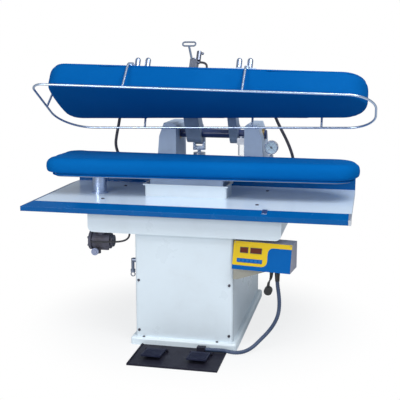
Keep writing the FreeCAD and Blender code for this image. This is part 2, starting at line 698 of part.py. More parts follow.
def uprights():
    upright("left_upright", -1)
    upright("right_upright", 1)
    bolts = []
    for side in (-1, 1):
        for x in foot_bolt_columns():
            for y in foot_bolt_rows():
                head = hexagon(side * x, y, DECK + D.foot_thick, D.foot_bolt_head, D.foot_bolt_height)
                shank = rod("Z", side * x, y, DECK, D.foot_bolt_dia, D.foot_thick + OVER)
                bolts.append(fuse(head, shank))
    node("upright_bolts", group(bolts))
    bushes = []
    outside = D.shaft_dia + D.bush_wall * 2
    for left in (-D.upright_gap / 2 - D.upright_width, D.upright_gap / 2):
        sleeve = rod("X", left, SHAFT_Y, SHAFT_Z, outside, D.upright_width)
        bore = rod("X", left - OVER, SHAFT_Y, SHAFT_Z, D.shaft_dia + D.running_gap * 2,
                   D.upright_width + 2 * OVER)
        bushes.append(cut(sleeve, bore))
    node("shaft_bushes", group(bushes))


def lever_outline(rear_top):
    """Side profile of a head lever, from the yoke's back face down to the hub on the shaft."""
    low = HEAD_TOP + D.lever_lift
    high = low + D.lever_depth
    elbow = PRESS_MIDDLE + D.press_left_depth / 2 + D.lever_clear
    heel = SHAFT_Z - D.lever_rear_drop
    return [
        (YOKE_BACK, low), (elbow, low), (elbow + D.elbow_run, low - D.elbow_drop),
        (SHAFT_Y - D.heel_half, heel), (SHAFT_Y + D.heel_half, heel),
        (SHAFT_Y + D.heel_back, SHAFT_Z + rear_top), (elbow + D.elbow_run / 2, high), (YOKE_BACK, YOKE_TOP),
    ]


def lever_hub(left, width):
    return rod("X", left, SHAFT_Y, SHAFT_Z, D.lever_hub_dia, width)


def lever_bore(left, width):
    return rod("X", left - OVER, SHAFT_Y, SHAFT_Z, D.shaft_dia + D.running_gap * 2, width + 2 * OVER)


def levers():
    left = -D.main_lever_left - D.main_lever_width / 2
    right = left + D.main_lever_width
    arm = pad_across([lever_outline(D.main_rear_top)], left, right)
    tail_left = -D.main_lever_left - D.tail_width / 2
    angle = math.radians(float(D.tail_angle))
    pin_y = SHAFT_Y + D.tail_radius
    pin_z = SHAFT_Z + D.tail_radius * math.tan(angle)
    half = D.tail_depth / 2
    tail = pad_across([[
        (SHAFT_Y, SHAFT_Z - half), (SHAFT_Y + D.tail_root, SHAFT_Z - half),
        (pin_y + D.tail_end, pin_z - D.tail_tip / 2), (pin_y + D.tail_end, pin_z + D.tail_tip / 2),
        (SHAFT_Y, SHAFT_Z + D.tail_rise),
    ]], tail_left, tail_left + D.tail_width)
    slot_height = D.pin_dia + D.slot_play * 2
    ends = [(pin_y + step, pin_z + step * math.tan(angle)) for step in (-D.slot_back, D.slot_run)]
    slot = fuse(
        *[rod("X", tail_left - OVER, y, z, slot_height, D.tail_width + 2 * OVER) for y, z in ends],
        box(tail_left - OVER, pin_y - D.slot_back, pin_z - slot_height / 2, D.tail_width + 2 * OVER,
            D.slot_back + D.slot_run, slot_height))
    hub = lever_hub(left, D.main_lever_width)
    bore = lever_bore(left, D.main_lever_width)
    node("main_lever", cut(fuse(arm, hub, tail), bore, slot), tilt=True)

    side_left = D.side_lever_right - D.side_lever_width / 2
    side_arm = pad_across([lever_outline(D.side_rear_top)], side_left, side_left + D.side_lever_width)
    node("side_lever", cut(fuse(side_arm, lever_hub(side_left, D.side_lever_width)),
                           lever_bore(side_left, D.side_lever_width)), tilt=True)

    reach = D.upright_gap / 2 + D.upright_width + D.shaft_end
    node("main_shaft", group([rod("X", -reach, SHAFT_Y, SHAFT_Z, D.shaft_dia, reach * 2)]), tilt=True)


def stud_places():
    return (-D.stud_one, -D.stud_two, D.stud_three, D.stud_four)


def yoke():
    length = D.yoke_left + D.yoke_right
    beam = box(-D.yoke_left, YOKE_FRONT, HEAD_TOP, length, D.yoke_depth, D.yoke_height)
    wall = D.yoke_wall
    inside = box(-D.yoke_left - OVER, YOKE_FRONT + wall, HEAD_TOP - OVER, length + 2 * OVER,
                 D.yoke_depth - wall * 2, D.yoke_height - wall + OVER)
    middle = YOKE_FRONT + D.yoke_depth / 2
    holes = [rod("Z", x, middle, HEAD_TOP, D.stud_dia + D.stud_play * 2, D.yoke_height + OVER)
             for x in stud_places()]
    valve = box(-D.valve_left - D.valve_width / 2 - D.valve_play, YOKE_FRONT + wall, HEAD_TOP,
                D.valve_width + D.valve_play * 2, D.yoke_depth - wall * 2, D.yoke_height + OVER)
    node("head_yoke", cut(beam, inside, valve, *holes), tilt=True)
    studs = []
    dome_z = YOKE_TOP + D.nut_height + D.dome_height - D.dome_dia / 2
    for x in stud_places():
        stem = rod("Z", x, middle, HEAD_TOP, D.stud_dia, D.yoke_height + OVER)
        nut = hexagon(x, middle, YOKE_TOP, D.nut_across, D.nut_height)
        skirt = rod("Z", x, middle, YOKE_TOP, D.dome_dia, D.nut_height + D.dome_height - D.dome_dia / 2)
        studs.append(fuse(stem, nut, skirt, ball(x, middle, dome_z, D.dome_dia)))
    node("yoke_studs", group(studs), tilt=True)


def rail_half_depth(x):
    """Distance of the rail from the press's centre line at one place along the head."""
    left, right = head_ends()
    half_west = float(D.press_left_depth) / 2
    half_east = float(D.press_right_depth) / 2
    share = (x - left) / (right - half_east - left)
    return half_west + (half_east - half_west) * share + float(D.rail_out)


def rail_corners():
    left, right = head_ends()
    west = left - float(D.rail_left_out)
    east = right + float(D.rail_right_out)
    middle = float(PRESS_MIDDLE)
    level = float(FACE) - float(D.rail_drop)
    return [V(x, middle + sign * rail_half_depth(x), level)
            for x, sign in ((west, -1), (east, -1), (east, 1), (west, 1))]


def guard_rail():
    corners = rail_corners()
    dia = float(D.rail_dia)
    bends = [float(D.rail_front_bend), float(D.rail_right_bend), float(D.rail_right_bend),
             float(D.rail_rear_bend)]
    pieces = []
    for index, corner in enumerate(corners):
        before = corners[index - 1]
        after = corners[(index + 1) % 4]
        into = (corner - before).normalize()
        out = (after - corner).normalize()
        half = into.getAngle(out) / 2
        reach = bends[index] * math.tan(half)
        depth = bends[index] * (1 / math.cos(half) - 1)
        pieces.append((corner - into * reach, corner + (out - into).normalize() * depth,
                       corner + out * reach))
    edges = []
    for index, (first, middle, last) in enumerate(pieces):
        edges.append(Part.Arc(first, middle, last).toShape())
        edges.append(Part.LineSegment(last, pieces[(index + 1) % 4][0]).toShape())
    path = Part.Wire(edges)
    begin = path.Edges[0]
    section = Part.Wire([Part.makeCircle(dia / 2, pieces[0][0], begin.tangentAt(begin.FirstParameter))])
    node("guard_rail", shaped(path.makePipeShell([section], True, False)), tilt=True)


def stay_spots():
    """Places of the stays along the head, with -1 for the front edge and 1 for the rear one."""
    left = -float(D.stay_left)
    middle = float(D.stay_middle)
    return ((left, -1), (middle, -1), (left, 1), (middle, 1), (float(D.stay_right), 1))


def rail_stays():
    """Bent rods from clamps on the lid, over the cover's edge and slanting out and down to the rail."""
    dia = float(D.rail_dia)
    middle = float(PRESS_MIDDLE)
    rise = float(D.stay_rise)
    level = float(HEAD_TOP) + rise
    low = float(FACE) - float(D.rail_drop) + dia / 2 + float(D.stay_foot)
    half = float(D.clamp_size) / 2
    inward = half - float(D.stay_grip)
    inset = float(D.clamp_inset)
    stays = []

    def add(x, y, out_x, out_y, reach):
        start = V(x, y, level)
        away = V(out_x, out_y, 0)
        corner = start + away * (reach - float(D.stay_lean))
        foot = start + away * reach
        foot.z = low
        stay = tube([start, corner, foot], dia, float(D.stay_bend))[0]
        corner_low = start - V(half + out_x * inward, half + out_y * inward, rise)
        clamp = Part.makeBox(half * 2, half * 2, half * 2, corner_low)
        stays.append(shaped(stay.fuse(clamp)))

    for x, sign in stay_spots():
        reach = float(D.rail_out) + inset
        add(x, middle + sign * (rail_half_depth(x) - reach), 0, sign, reach)
    add(head_ends()[0] + inset, middle, -1, 0, inset + float(D.rail_left_out))
    node("rail_stays", group(stays), tilt=True)


def air_cylinder():
    middle_x = -D.main_lever_left
    middle_y = SHAFT_Y + D.tail_radius
    outside = D.barrel_dia
    bore_dia = outside - D.barrel_wall * 2
    floor = DECK + D.barrel_foot
    foot_width = outside + D.barrel_foot_out * 2
    barrel = rod("Z", middle_x, middle_y, DECK, outside, D.barrel_height)
    foot = box(middle_x - foot_width / 2, middle_y - outside / 2, DECK, foot_width, outside, D.barrel_foot)
    collar = rod("Z", middle_x, middle_y, DECK + D.barrel_height - D.collar_height,
                 outside + D.collar_out * 2, D.collar_height)
    bore = rod("Z", middle_x, middle_y, floor, bore_dia, D.barrel_height - D.barrel_foot - D.rod_gland)
    rod_bore = rod("Z", middle_x, middle_y, floor, D.rod_dia + D.running_gap * 2, D.barrel_height)
    node("air_cylinder", cut(fuse(barrel, foot, collar), bore, rod_bore))

    pin_z = SHAFT_Z - D.tail_radius * math.tan(math.radians(float(D.open_angle) - float(D.tail_angle)))
    block_top = pin_z - D.clevis_reach
    piston = rod("Z", middle_x, middle_y, DECK + D.piston_rest, bore_dia - D.running_gap * 2, D.piston_depth)
    stem = rod("Z", middle_x, middle_y, DECK + D.piston_rest, D.rod_dia,
               block_top - D.clevis_block - DECK - D.piston_rest + OVER)
    ear = D.clevis_ear
    inner = D.tail_width / 2 + D.clevis_play
    depth = D.clevis_depth
    block = box(middle_x - inner - ear, middle_y - depth / 2, block_top - D.clevis_block,
                (inner + ear) * 2, depth, D.clevis_block)
    ears = []
    for left in (middle_x - inner - ear, middle_x + inner):
        ears.append(box(left, middle_y - depth / 2, block_top - OVER, ear, depth, D.clevis_reach + OVER))
        ears.append(rod("X", left, middle_y, pin_z, depth, ear))
    pin = rod("X", middle_x - inner - ear, middle_y, pin_z, D.pin_dia, (inner + ear) * 2)
    node("piston_rod", fuse(piston, stem, block, pin, *ears))


def steam_valve():
    x = -D.valve_left
    y = YOKE_FRONT + D.yoke_depth / 2
    width = D.valve_width
    top = HEAD_TOP + D.valve_height
    body = box(x - width / 2, y - width / 2, HEAD_TOP, width, width, D.valve_height)
    bonnet = rod("Z", x, y, top - OVER, D.bonnet_dia, D.bonnet_height + OVER)
    pilot_x = x + width / 2
    pilot = rod("Z", pilot_x, y, top - OVER, D.pilot_dia, D.pilot_height + OVER)
    arm = rod("X", pilot_x, y, top + D.knob_rise, D.knob_arm_dia, D.knob_arm)
    knob = ball(pilot_x + D.knob_arm, y, top + D.knob_rise, D.knob_dia)
    stub = rod("X", pilot_x - OVER, y, top - D.stub_drop, D.stub_dia, D.stub_length + OVER)
    pivot_x = x - D.pivot_left
    pivot_z = top - D.valve_stem_rise
    slot_width = D.lever_rod_dia + D.slot_room * 2
    slot_low = pivot_z - D.eye_dia / 2 - D.slot_room
    slot = box(x - width / 2 - OVER, y - slot_width / 2, slot_low, D.slot_reach + OVER, slot_width,
               top + D.bonnet_height + OVER - slot_low)
    pin = rod("Y", pivot_x, y - width / 2, pivot_z, D.valve_pin_dia, width)
    node("steam_valve", fuse(cut(fuse(body, bonnet, pilot, stub, arm, knob), slot), pin), tilt=True)
    steam_lever(V(float(pivot_x), float(y), float(pivot_z)))


def steam_lever(foot):
    """Leaning rod with an eye on the valve's pin and a flat ring to pull on."""
    lean = math.radians(float(D.lever_lean))
    aim = V(-math.sin(lean), 0, math.cos(lean))
    across = V(1, 0, 0)
    back = V(0, 1, 0)
    rod_dia = float(D.lever_rod_dia)
    length = float(D.lever_rod_length)
    stem = Part.makeCylinder(rod_dia / 2, length, foot, aim)
    eye = Part.makeCylinder(float(D.eye_dia) / 2, rod_dia, foot - back * (rod_dia / 2), back)
    loop_dia = float(D.loop_rod_dia)
    bend = float(D.loop_height) / 2 - loop_dia / 2
    half = float(D.loop_width) / 2 - loop_dia / 2
    start = foot + aim * (length + loop_dia / 2 - OVER)
    ring = [start - across * (half - bend), start + across * (half - bend)]
    top = [point + V(0, 0, 2 * bend) for point in ring]
    edges = [
        Part.LineSegment(ring[0], ring[1]).toShape(),
        Part.Arc(ring[1], (ring[1] + top[1]) * 0.5 + across * bend, top[1]).toShape(),
        Part.LineSegment(top[1], top[0]).toShape(),
        Part.Arc(top[0], (ring[0] + top[0]) * 0.5 - across * bend, ring[0]).toShape(),
    ]
    section = Part.Wire([Part.makeCircle(loop_dia / 2, ring[0], across)])
    loop = Part.Wire(edges).makePipeShell([section], True, False)
    bore_radius = float(D.valve_pin_dia) / 2 + float(D.running_gap)
    bore = Part.makeCylinder(bore_radius, rod_dia * 2, foot - back * rod_dia, back)
    node("steam_lever", shaped(stem.fuse([eye, loop]).cut(bore)), tilt=True)


def head_unions():
    size = D.head_union_size
    back = PRESS_MIDDLE + D.head_union_back
    blocks = []
    for x in (-D.left_head_union, D.right_head_union):
        body = box(x - size / 2, back - size, HEAD_TOP, size, size, size)
        nozzle = rod("Y", x, back - OVER, HEAD_TOP + size / 2, D.nozzle_dia, D.nozzle_length + OVER)
        blocks.append(fuse(body, nozzle))
    node("head_unions", group(blocks), tilt=True)


def deck_unions():
    blocks = []
    for x in (-D.left_union_out, D.right_union_out):
        base = hexagon(x, UNION_Y, DECK, D.union_nut, D.union_nut_height)
        blocks.append(fuse(base, rod("Z", x, UNION_Y, DECK, D.union_dia, D.union_height)))
    node("deck_unions", group(blocks))


def swung(x, y, z):
    """A point of the closed head, swung to the open rest position."""
    angle = math.radians(float(D.open_angle))
    dy = y - float(SHAFT_Y)
    dz = z - float(SHAFT_Z)
    return (x, float(SHAFT_Y) + dy * math.cos(angle) + dz * math.sin(angle),
            float(SHAFT_Z) - dy * math.sin(angle) + dz * math.cos(angle))


# How each steam hose hangs: share of the way down, then out sideways and back in shares of the drop
LEFT_SAG = (
    (0.1419, -0.0263, 0.1065), (0.2492, -0.0654, 0.1171), (0.3564, -0.0959, 0.0976),
    (0.4637, -0.1242, 0.0609), (0.5602, -0.1433, 0.0293), (0.6568, -0.1324, 0.0126),
    (0.7383, -0.0904, 0.0191), (0.8069, -0.0305, 0.0312))
RIGHT_SAG = (
    (0.1376, -0.0168, 0.1077), (0.2406, -0.0079, 0.1193), (0.3393, 0.015, 0.1042),
    (0.438, 0.0464, 0.072), (0.5452, 0.0714, 0.0375), (0.6568, 0.0825, 0.0169),
    (0.7683, 0.0679, 0.0242))


def hung(top, foot, sag):
    """Points of a hose between its two ends."""
    drop = top[2] - foot[2]
    return [(top[0] + (foot[0] - top[0]) * share + out * drop,
             top[1] + (foot[1] - top[1]) * share + back * drop,
             top[2] - share * drop) for share, out, back in sag]


def steam_hoses():
    back = float(PRESS_MIDDLE + D.head_union_back + D.nozzle_length)
    level = float(HEAD_TOP + D.head_union_size / 2)
    deck = float(DECK + D.union_height)
    for label, head_x, deck_x, sag in (
            ("left_hose", -D.left_head_union, -D.left_union_out, LEFT_SAG),
            ("right_hose", D.right_head_union, D.right_union_out, RIGHT_SAG)):
        top = swung(float(head_x), back, level)
        below = swung(float(head_x), back + float(D.hose_straight), level)
        foot = (float(deck_x), float(UNION_Y), deck)
        above = (float(deck_x), float(UNION_Y), deck + float(D.hose_rise))
        cord(label, [top, below] + hung(top, foot, sag) + [above, foot], D.hose_dia)
    valve_loop()


def valve_loop():
    x = -float(D.valve_left) + float(D.valve_width) / 2 + float(D.stub_length)
    y = float(YOKE_FRONT) + float(D.yoke_depth) / 2
    z = float(HEAD_TOP) + float(D.valve_height) - float(D.stub_drop)
    top = float(YOKE_TOP)
    shape = tube([V(x, y, z), V(x + 16, y, z), V(x + 32, y, z - 7), V(x + 40, y, z - 20), V(x + 40, y, top)],
                 float(D.valve_hose_dia))[0]
    node("valve_hose", shaped(shape), tilt=True)


def gauge():
    x = D.gauge_right
    y = TABLE_BACK + D.gauge_behind
    z = DECK + D.gauge_rise
    dia = D.gauge_dia
    low = z - dia / 2
    stem_y = y + D.gauge_depth / 2
    inside = dia - D.gauge_bezel * 2
    plate_dia = inside - D.dial_gap * 2
    face = y + D.gauge_pocket - D.dial_thick
    case = rod("Y", x, y, z, dia, D.gauge_depth)
    pocket = rod("Y", x, y - OVER, z, inside, D.gauge_pocket + OVER)
    stem = rod("Z", x, stem_y, DECK, D.gauge_stem_dia, low - DECK + 2 * OVER)
    nut = hexagon(x, stem_y, DECK, D.gauge_nut, D.gauge_nut_height)
    cap = hexagon(x, stem_y, low - D.gauge_cap_drop, D.gauge_cap, D.gauge_nut_height)
    node("gauge_case", fuse(cut(case, pocket), stem, nut, cap))
    dial = rod("Y", x, face, z, plate_dia, D.dial_thick)
    post = rod("Y", x, face - D.dial_post_rise, z, D.dial_post_dia, D.dial_post_rise + OVER)
    node("gauge_dial", fuse(dial, post))
    gauge_needle(V(float(x), float(face - D.needle_lift - D.needle_thick), float(z)))
    node("gauge_glass", rod("Y", x, y + D.glass_inset, z, plate_dia, D.glass_thick))


def gauge_needle(start):
    lean = math.radians(float(D.needle_lean))
    back = V(0, 1, 0)
    thick = float(D.needle_thick)
    aim = V(-math.sin(lean), 0, math.cos(lean))
    width = float(D.needle_width)
    side = V(math.cos(lean), 0, math.sin(lean)) * (width / 2)
    tip = start + aim * float(D.needle_length)
    heel = start - aim * (float(D.needle_length) / 3)
    blade = Part.Face(Part.makePolygon([heel - side, heel + side, tip, heel - side])).extrude(back * thick)
    bore_radius = float(D.dial_post_dia) / 2 + float(D.running_gap)
    hub = Part.makeCylinder(bore_radius + width, thick, start, back)
    hole = Part.makeCylinder(bore_radius, thick + 2 * OVER, start - back * OVER, back)
    node("gauge_needle", shaped(blade.fuse(hub).cut(hole)))


def air_filter():
    size = D.filter_size
    left = D.upright_gap / 2 - size
    middle_x = left + size / 2
    middle_y = FILTER_FRONT + size / 2
    z = DECK + D.filter_rise
    low = z - D.bowl_height
    head_block = box(left, FILTER_FRONT, z, size, size, D.filter_height)
    cap = rod("Z", middle_x, middle_y, z + D.filter_height - OVER, D.filter_cap_dia,
              D.filter_cap_height + OVER)
    node("filter_head", fuse(head_block, cap))
    bowl = rod("Z", middle_x, middle_y, low, D.bowl_dia, D.bowl_height)
    drain = rod("Z", middle_x, middle_y, low - D.bowl_drain, D.bowl_drain_dia, D.bowl_drain + OVER)
    node("filter_bowl", fuse(bowl, drain))


def box_local():
    """Corner of the control box that it is turned about: its front left bottom edge."""
    x = D.cabinet_width / 2
    z = CABINET_TOP - D.box_top_drop - D.box_height
    return x, CHASSIS_FRONT - D.box_out, z


def turn_box(item):
    x, y, z = box_local()
    item.setExpression("Placement", "placement(vector(%s; %s; %s); rotation(vector(0; 0; 1); -dims.box_turn))"
                       % (x.text, y.text, z.text))
    return item


def fascia(x0, x1, z0, z1, out, deep):
    """A plate lying on the control box's sloping front."""
    lean = D.box_slope / D.box_height
    return pad_across([[(lean * z0 - out, z0), (lean * z0 - out + deep, z0),
                        (lean * z1 - out + deep, z1), (lean * z1 - out, z1)]], x0, x1)


def control_box():
    depth = D.box_top_depth + D.box_slope
    high = D.box_height
    wall = D.box_wall
    rim = D.mouth_rim
    outline = [(0, 0), (depth, 0), (depth, high), (D.box_slope, high)]
    inset = [(wall * 2, wall), (depth - wall, wall), (depth - wall, high - wall),
             (D.box_slope + wall, high - wall)]
    shell = pad_across([outline], sized(0), D.box_width)
    room = pad_across([inset], wall, D.box_width - wall)
    mouth = pad_across([rectangle(-OVER, rim, depth / 2, high - rim)], rim, D.box_width - rim)
    node("control_case", turn_box(cut(shell, room, mouth)))
    thick = D.panel_thick
    out = thick + D.display_thick
    panel = fascia(sized(0), D.box_width, sized(0), high, thick, thick)
    windows = [fascia(left, right, D.display_low, D.display_low + D.display_height, out, D.display_thick)
               for left, right in ((D.first_left, D.first_right), (D.second_left, D.second_right))]
    node("display_windows", turn_box(group(windows)))
    keys = fascia(D.keys_left, D.keys_right, D.keys_low, D.keys_high, out, D.display_thick)
    node("control_panel", turn_box(fuse(panel, keys)))
    gland_y = depth / 2 - D.gland_front
    glands = []
    for x in (D.plug_gland, D.pedal_gland):
        neck = rod("Z", x, gland_y, -D.gland_length, D.gland_neck, D.gland_length)
        glands.append(fuse(neck, hexagon(x, gland_y, -D.gland_nut, D.gland_dia, D.gland_nut)))
    node("cable_glands", turn_box(group(glands)))
    control_bracket()


def control_bracket():
    """Bent sheet on the cabinet's side: a shelf under the box, a foot on the wall and a front web."""
    side = D.cabinet_width / 2
    top = CABINET_TOP - D.box_top_drop - D.box_height
    thick = D.bracket_thick
    front = CHASSIS_FRONT + D.bracket_front
    low = top - D.bracket_drop
    shelf = box(side, front, top - thick, D.bracket_width, D.bracket_depth, thick)
    web = pad_back([[(side, top - thick), (side, low), (side + D.bracket_toe, low),
                     (side + D.bracket_width, top - thick)]], front, front + thick)
    foot = box(side, front, low, thick, D.bracket_depth, D.bracket_drop)
    node("control_bracket", fuse(shelf, web, foot))


def gland_point(size):
    """Where a cable leaves its gland under the control box, after the box is turned."""
    corner_x, corner_y, corner_z = [float(value) for value in box_local()]
    turn = math.radians(float(D.box_turn))
    x = float(size)
    back = float((D.box_top_depth + D.box_slope) / 2 - D.gland_front)
    return (corner_x + x * math.cos(turn) + back * math.sin(turn),
            corner_y - x * math.sin(turn) + back * math.cos(turn), corner_z - float(D.gland_length))


def mains_plug(x, y, z):
    """Round plug hanging from the end of its lead, with its pins to the rear."""
    radius = D.plug_dia / 2
    half = D.plug_thick / 2
    middle = z - radius
    disc = rod("Y", x, y - half, middle, D.plug_dia, D.plug_thick)
    nose = rod("Z", x, y, z - D.plug_nose, D.plug_nose_dia, D.plug_nose)
    spread = D.plug_pin_spread
    pins = [rod("Y", x + dx, y + half - OVER, middle + dz, D.plug_pin_dia, D.plug_pin_length + OVER)
            for dx, dz in ((-spread, -D.plug_pin_low), (spread, -D.plug_pin_low), (0, spread))]
    node("mains_plug", fuse(disc, nose, *pins))


def control_cords():
    x, y, z = gland_point(D.plug_gland)
    plug_top = (x - 13, y - 6, z - 66)
    cord("plug_lead", [(x, y, z), (x, y, z - 17), (x - 5, y - 2, z - 34), (x - 13, y - 6, z - 50), plug_top],
         D.plug_lead_dia)
    mains_plug(*plug_top)

    x, y, z = gland_point(D.pedal_gland)
    end = pedal_socket()
    cord("pedal_hose", [
        (x, y, z), (x, y, z - 46), (x + 8, y + 2, z - 96), (x + 12, y + 8, z - 150), (x + 6, y + 20, z - 206),
        (x - 14, y + 36, z - 258), (x - 44, y + 42, z - 304), (368, -418, 56), (338, -440, 27),
        (304, -464, 11.5), (270, -482, 9.6), (242, -490, 13), (216, -492, 18.8), (188, -491, 19),
        (end[0] + 30, end[1], end[2]), end], D.pedal_hose_dia)
    x = float(D.cabinet_width) / 2
    front = float(CHASSIS_FRONT)
    shelf = float(CABINET_TOP - D.box_top_drop - D.box_height - D.bracket_thick)
    cord("air_tube", [
        (x, front + 136, shelf - 32), (x + 22, front + 136, shelf - 32), (x + 44, front + 130, shelf - 48),
        (x + 66, front + 118, shelf - 52), (x + 86, front + 106, shelf - 36),
        (x + 92, front + 100, shelf - 16), (x + 92, front + 100, shelf)], D.air_tube_dia)


def pedal_back():
    return FRONT - D.plinth_lip


def pedal_socket():
    """Point on the pedal plate's socket where its hose ends."""
    return (float(D.pedal_plate_shift + D.socket_out), float(pedal_back() - D.socket_front),
            float(D.pedal_plate_thick + D.socket_rise))


def pedals():
    back = pedal_back()
    hinge_y = back - D.pedal_front
    pin_z = D.pedal_plate_thick + D.pedal_lift
    middles = [D.pedal_plate_shift - D.pedal_offset + side * D.pedal_spread / 2 for side in (-1, 1)]
    pedal_plate(back, hinge_y, pin_z, middles)
    for label, middle in zip(("left_pedal", "right_pedal"), middles):
        pedal(label, middle, hinge_y, pin_z)


def pedal_plate(back, hinge_y, pin_z, middles):
    """Floor plate with a raised rim, the hose socket, and two ears and a pin for each pedal."""
    width = D.pedal_plate_width
    depth = D.pedal_plate_depth
    thick = D.pedal_plate_thick
    left = D.pedal_plate_shift - width / 2
    front = back - depth
    wall = D.plate_rim_wall
    plate = box(left, front, 0, width, depth, thick)
    rim = cut(box(left, front, thick - OVER, width, depth, D.plate_rim + OVER),
              box(left + wall, front + wall, thick - 2 * OVER, width - wall * 2, depth,
                  D.plate_rim + 3 * OVER))
    socket_x, socket_y, _ = pedal_socket()
    socket = box(socket_x - D.socket_length, socket_y - D.socket_width / 2, thick - OVER, D.socket_length,
                 D.socket_width, D.socket_height)
    ear = D.pedal_ear
    barrel = D.pedal_barrel_dia
    reach = D.pedal_width / 2 + D.pedal_side_play
    pieces = []
    for middle in middles:
        for x in (middle - reach - ear, middle + reach):
            pieces.append(box(x, hinge_y - barrel / 2, thick - OVER, ear, barrel, D.pedal_lift + OVER))
            pieces.append(rod("X", x, hinge_y, pin_z, barrel, ear))
        pieces.append(rod("X", middle - reach - ear, hinge_y, pin_z, D.pedal_pin_dia, (reach + ear) * 2))
    node("pedal_plate", fuse(plate, rim, socket, *pieces))


def pedal(label, middle, hinge_y, pin_z):
    """Ribbed tread on a barrel round its pin, tilted up at the front."""
    width = D.pedal_width
    left = middle - width / 2
    low = pin_z - D.tread_drop
    front = hinge_y - D.pedal_length
    tread = box(left, front, low, width, D.pedal_length, D.pedal_thick)
    barrel = rod("X", left, hinge_y, pin_z, D.pedal_barrel_dia, width)
    rib_z = low + D.pedal_thick - OVER
    ribs = [box(left + D.rib_inset, front + D.rib_first + D.rib_step * step, rib_z,
                width - D.rib_inset * 2, D.rib_width, D.rib_height + OVER) for step in range(RIB_COUNT)]
    bore = rod("X", left - OVER, hinge_y, pin_z, D.pedal_pin_dia + D.running_gap * 2, width + 2 * OVER)
    item = cut(fuse(tread, barrel, *ribs), bore)
    item.setExpression("Placement", "placement(vector(0; 0; 0); rotation(vector(1; 0; 0); -dims.pedal_tilt); "
                       "vector(0; %s; %s))" % (hinge_y.text, pin_z.text))
    node(label, item)


def steam_trap():
    left = -D.trap_left
    y = CHASSIS_FRONT + D.trap_back
    z = CABINET_TOP - D.trap_drop
    middle = left + D.trap_length / 2
    outlet_x = left + D.trap_outlet_in
    stem_z = z - D.trap_outlet_drop + D.trap_stem_rise
    knob_y = y - D.trap_outlet_dia / 2 - D.trap_knob_out - D.trap_knob_thick
    stem_y = knob_y + D.trap_knob_thick / 2
    pad_half = D.trap_pad / 2
    node("trap_body", fuse(
        rod("X", left, y, z, D.trap_dia, D.trap_length),
        rod("X", left - D.trap_flange_thick, y, z, D.trap_flange_dia, D.trap_flange_thick + OVER),
        rod("X", left + D.trap_length - OVER, y, z, D.trap_cap_dia, D.trap_cap_length + OVER),
        rod("Z", middle, y, z, D.trap_neck_dia, D.trap_drop),
        box(middle - pad_half, y - pad_half, CABINET_TOP - D.trap_pad_thick, D.trap_pad, D.trap_pad,
            D.trap_pad_thick),
        rod("Z", outlet_x, y, z - D.trap_outlet_drop, D.trap_outlet_dia, D.trap_outlet_drop),
        box(outlet_x, y - D.trap_web / 2, z - D.trap_web_drop, D.trap_web_length, D.trap_web,
            D.trap_web_height),
        rod("Y", outlet_x, stem_y, stem_z, D.trap_stem_dia, y - stem_y)))
    knob = rod("Y", outlet_x, knob_y, stem_z, D.trap_knob_dia, D.trap_knob_thick)
    boss = rod("Y", outlet_x, knob_y - D.trap_knob_boss_out, stem_z, D.trap_knob_boss,
               D.trap_knob_boss_out + OVER)
    socket = rod("Y", outlet_x, stem_y - OVER, stem_z, D.trap_stem_dia + D.running_gap * 2, D.trap_knob_thick)
    node("trap_knob", cut(fuse(knob, boss), socket))
    trap_wire(float(left), float(y - D.trap_dia / 2 - D.trap_lead_out))


# The trap's lead: share of its run out from the trap's flange, then share of the drop to the trap's axis
LEAD_WAY = ((1, 0), (1, 0.387), (0.915, 0.71), (0.76, 0.871), (0.57, 0.919), (0.37, 0.968), (0.18, 1))


def trap_wire(left, lane):
    run = float(D.trap_lead_run)
    drop = float(D.trap_drop)
    top = float(CABINET_TOP)
    points = [(left + run * out, lane, top - drop * down) for out, down in LEAD_WAY]
    cord("trap_lead", points + [(left + OVER, lane, top - drop)], D.trap_lead_dia)


def drain_cock():
    side = -D.cabinet_width / 2
    x = side - D.cock_reach
    y = FRONT + D.cock_back
    z = CABINET_TOP - D.cock_drop
    low = z - D.cock_length
    stub = rod("X", x, y, z, D.cock_dia, D.cock_reach)
    down = rod("Z", x, y, low, D.cock_pipe, D.cock_length + D.cock_pipe / 2)
    nut = hexagon(x, y, low, D.cock_nut, D.cock_nut_height)
    ring = DOC.addObject("Part::Torus", "ring")
    ring.Placement = FreeCAD.Placement(V(), TURNS["Y"])
    bind(ring, "Radius1", D.cock_ring_dia / 2)
    bind(ring, "Radius2", D.cock_ring_wire / 2)
    place(ring, x, y, low - D.cock_ring_drop)
    node("drain_cock", fuse(stub, down, nut, ring))


def vacuum_unit():
    x = -D.duct_shift
    y = duct_middle()
    floor = D.plinth_height + D.sheet_metal
    axis_z = floor + D.fan_lift + D.fan_dia / 2
    left = x - D.fan_width / 2
    scroll = rod("X", left, y, axis_z, D.fan_dia, D.fan_width)
    feet = box(left, y - D.fan_foot / 2, floor, D.fan_width, D.fan_foot, D.fan_lift + D.fan_foot_sunk)
    motor = rod("X", left + D.fan_width - OVER, y, axis_z, D.motor_dia, D.motor_length + OVER)
    pipe = rod("Z", x, y, axis_z, D.suction_dia, DECK - axis_z)
    node("vacuum_unit", fuse(scroll, feet, motor, pipe))


def build():
    cabinet()
    chassis()
    table()
    buck_carriers()
    buck()
    head()
    uprights()
    levers()
    yoke()
    guard_rail()
    rail_stays()
    air_cylinder()
    steam_valve()
    head_unions()
    deck_unions()
    steam_hoses()
    gauge()
    air_filter()
    control_box()
    control_cords()
    pedals()
    steam_trap()
    drain_cock()
    vacuum_unit()


def check_and_write():
    DOC.recompute()
    for item in DOC.Objects:
        if "Invalid" in item.State or "Error" in item.State:
            raise RuntimeError("%s failed: %s" % (item.Label, item.State))
    for item in NODES:
        if item.Shape.isNull() or not item.Shape.isValid():
            raise RuntimeError("%s has no valid shape" % item.Label)
    os.makedirs("parts", exist_ok=True)
    for item in NODES:
        item.Shape.exportStep("parts/%s.step" % item.Label)
    print("%d parts written" % len(NODES))


build()
check_and_write()
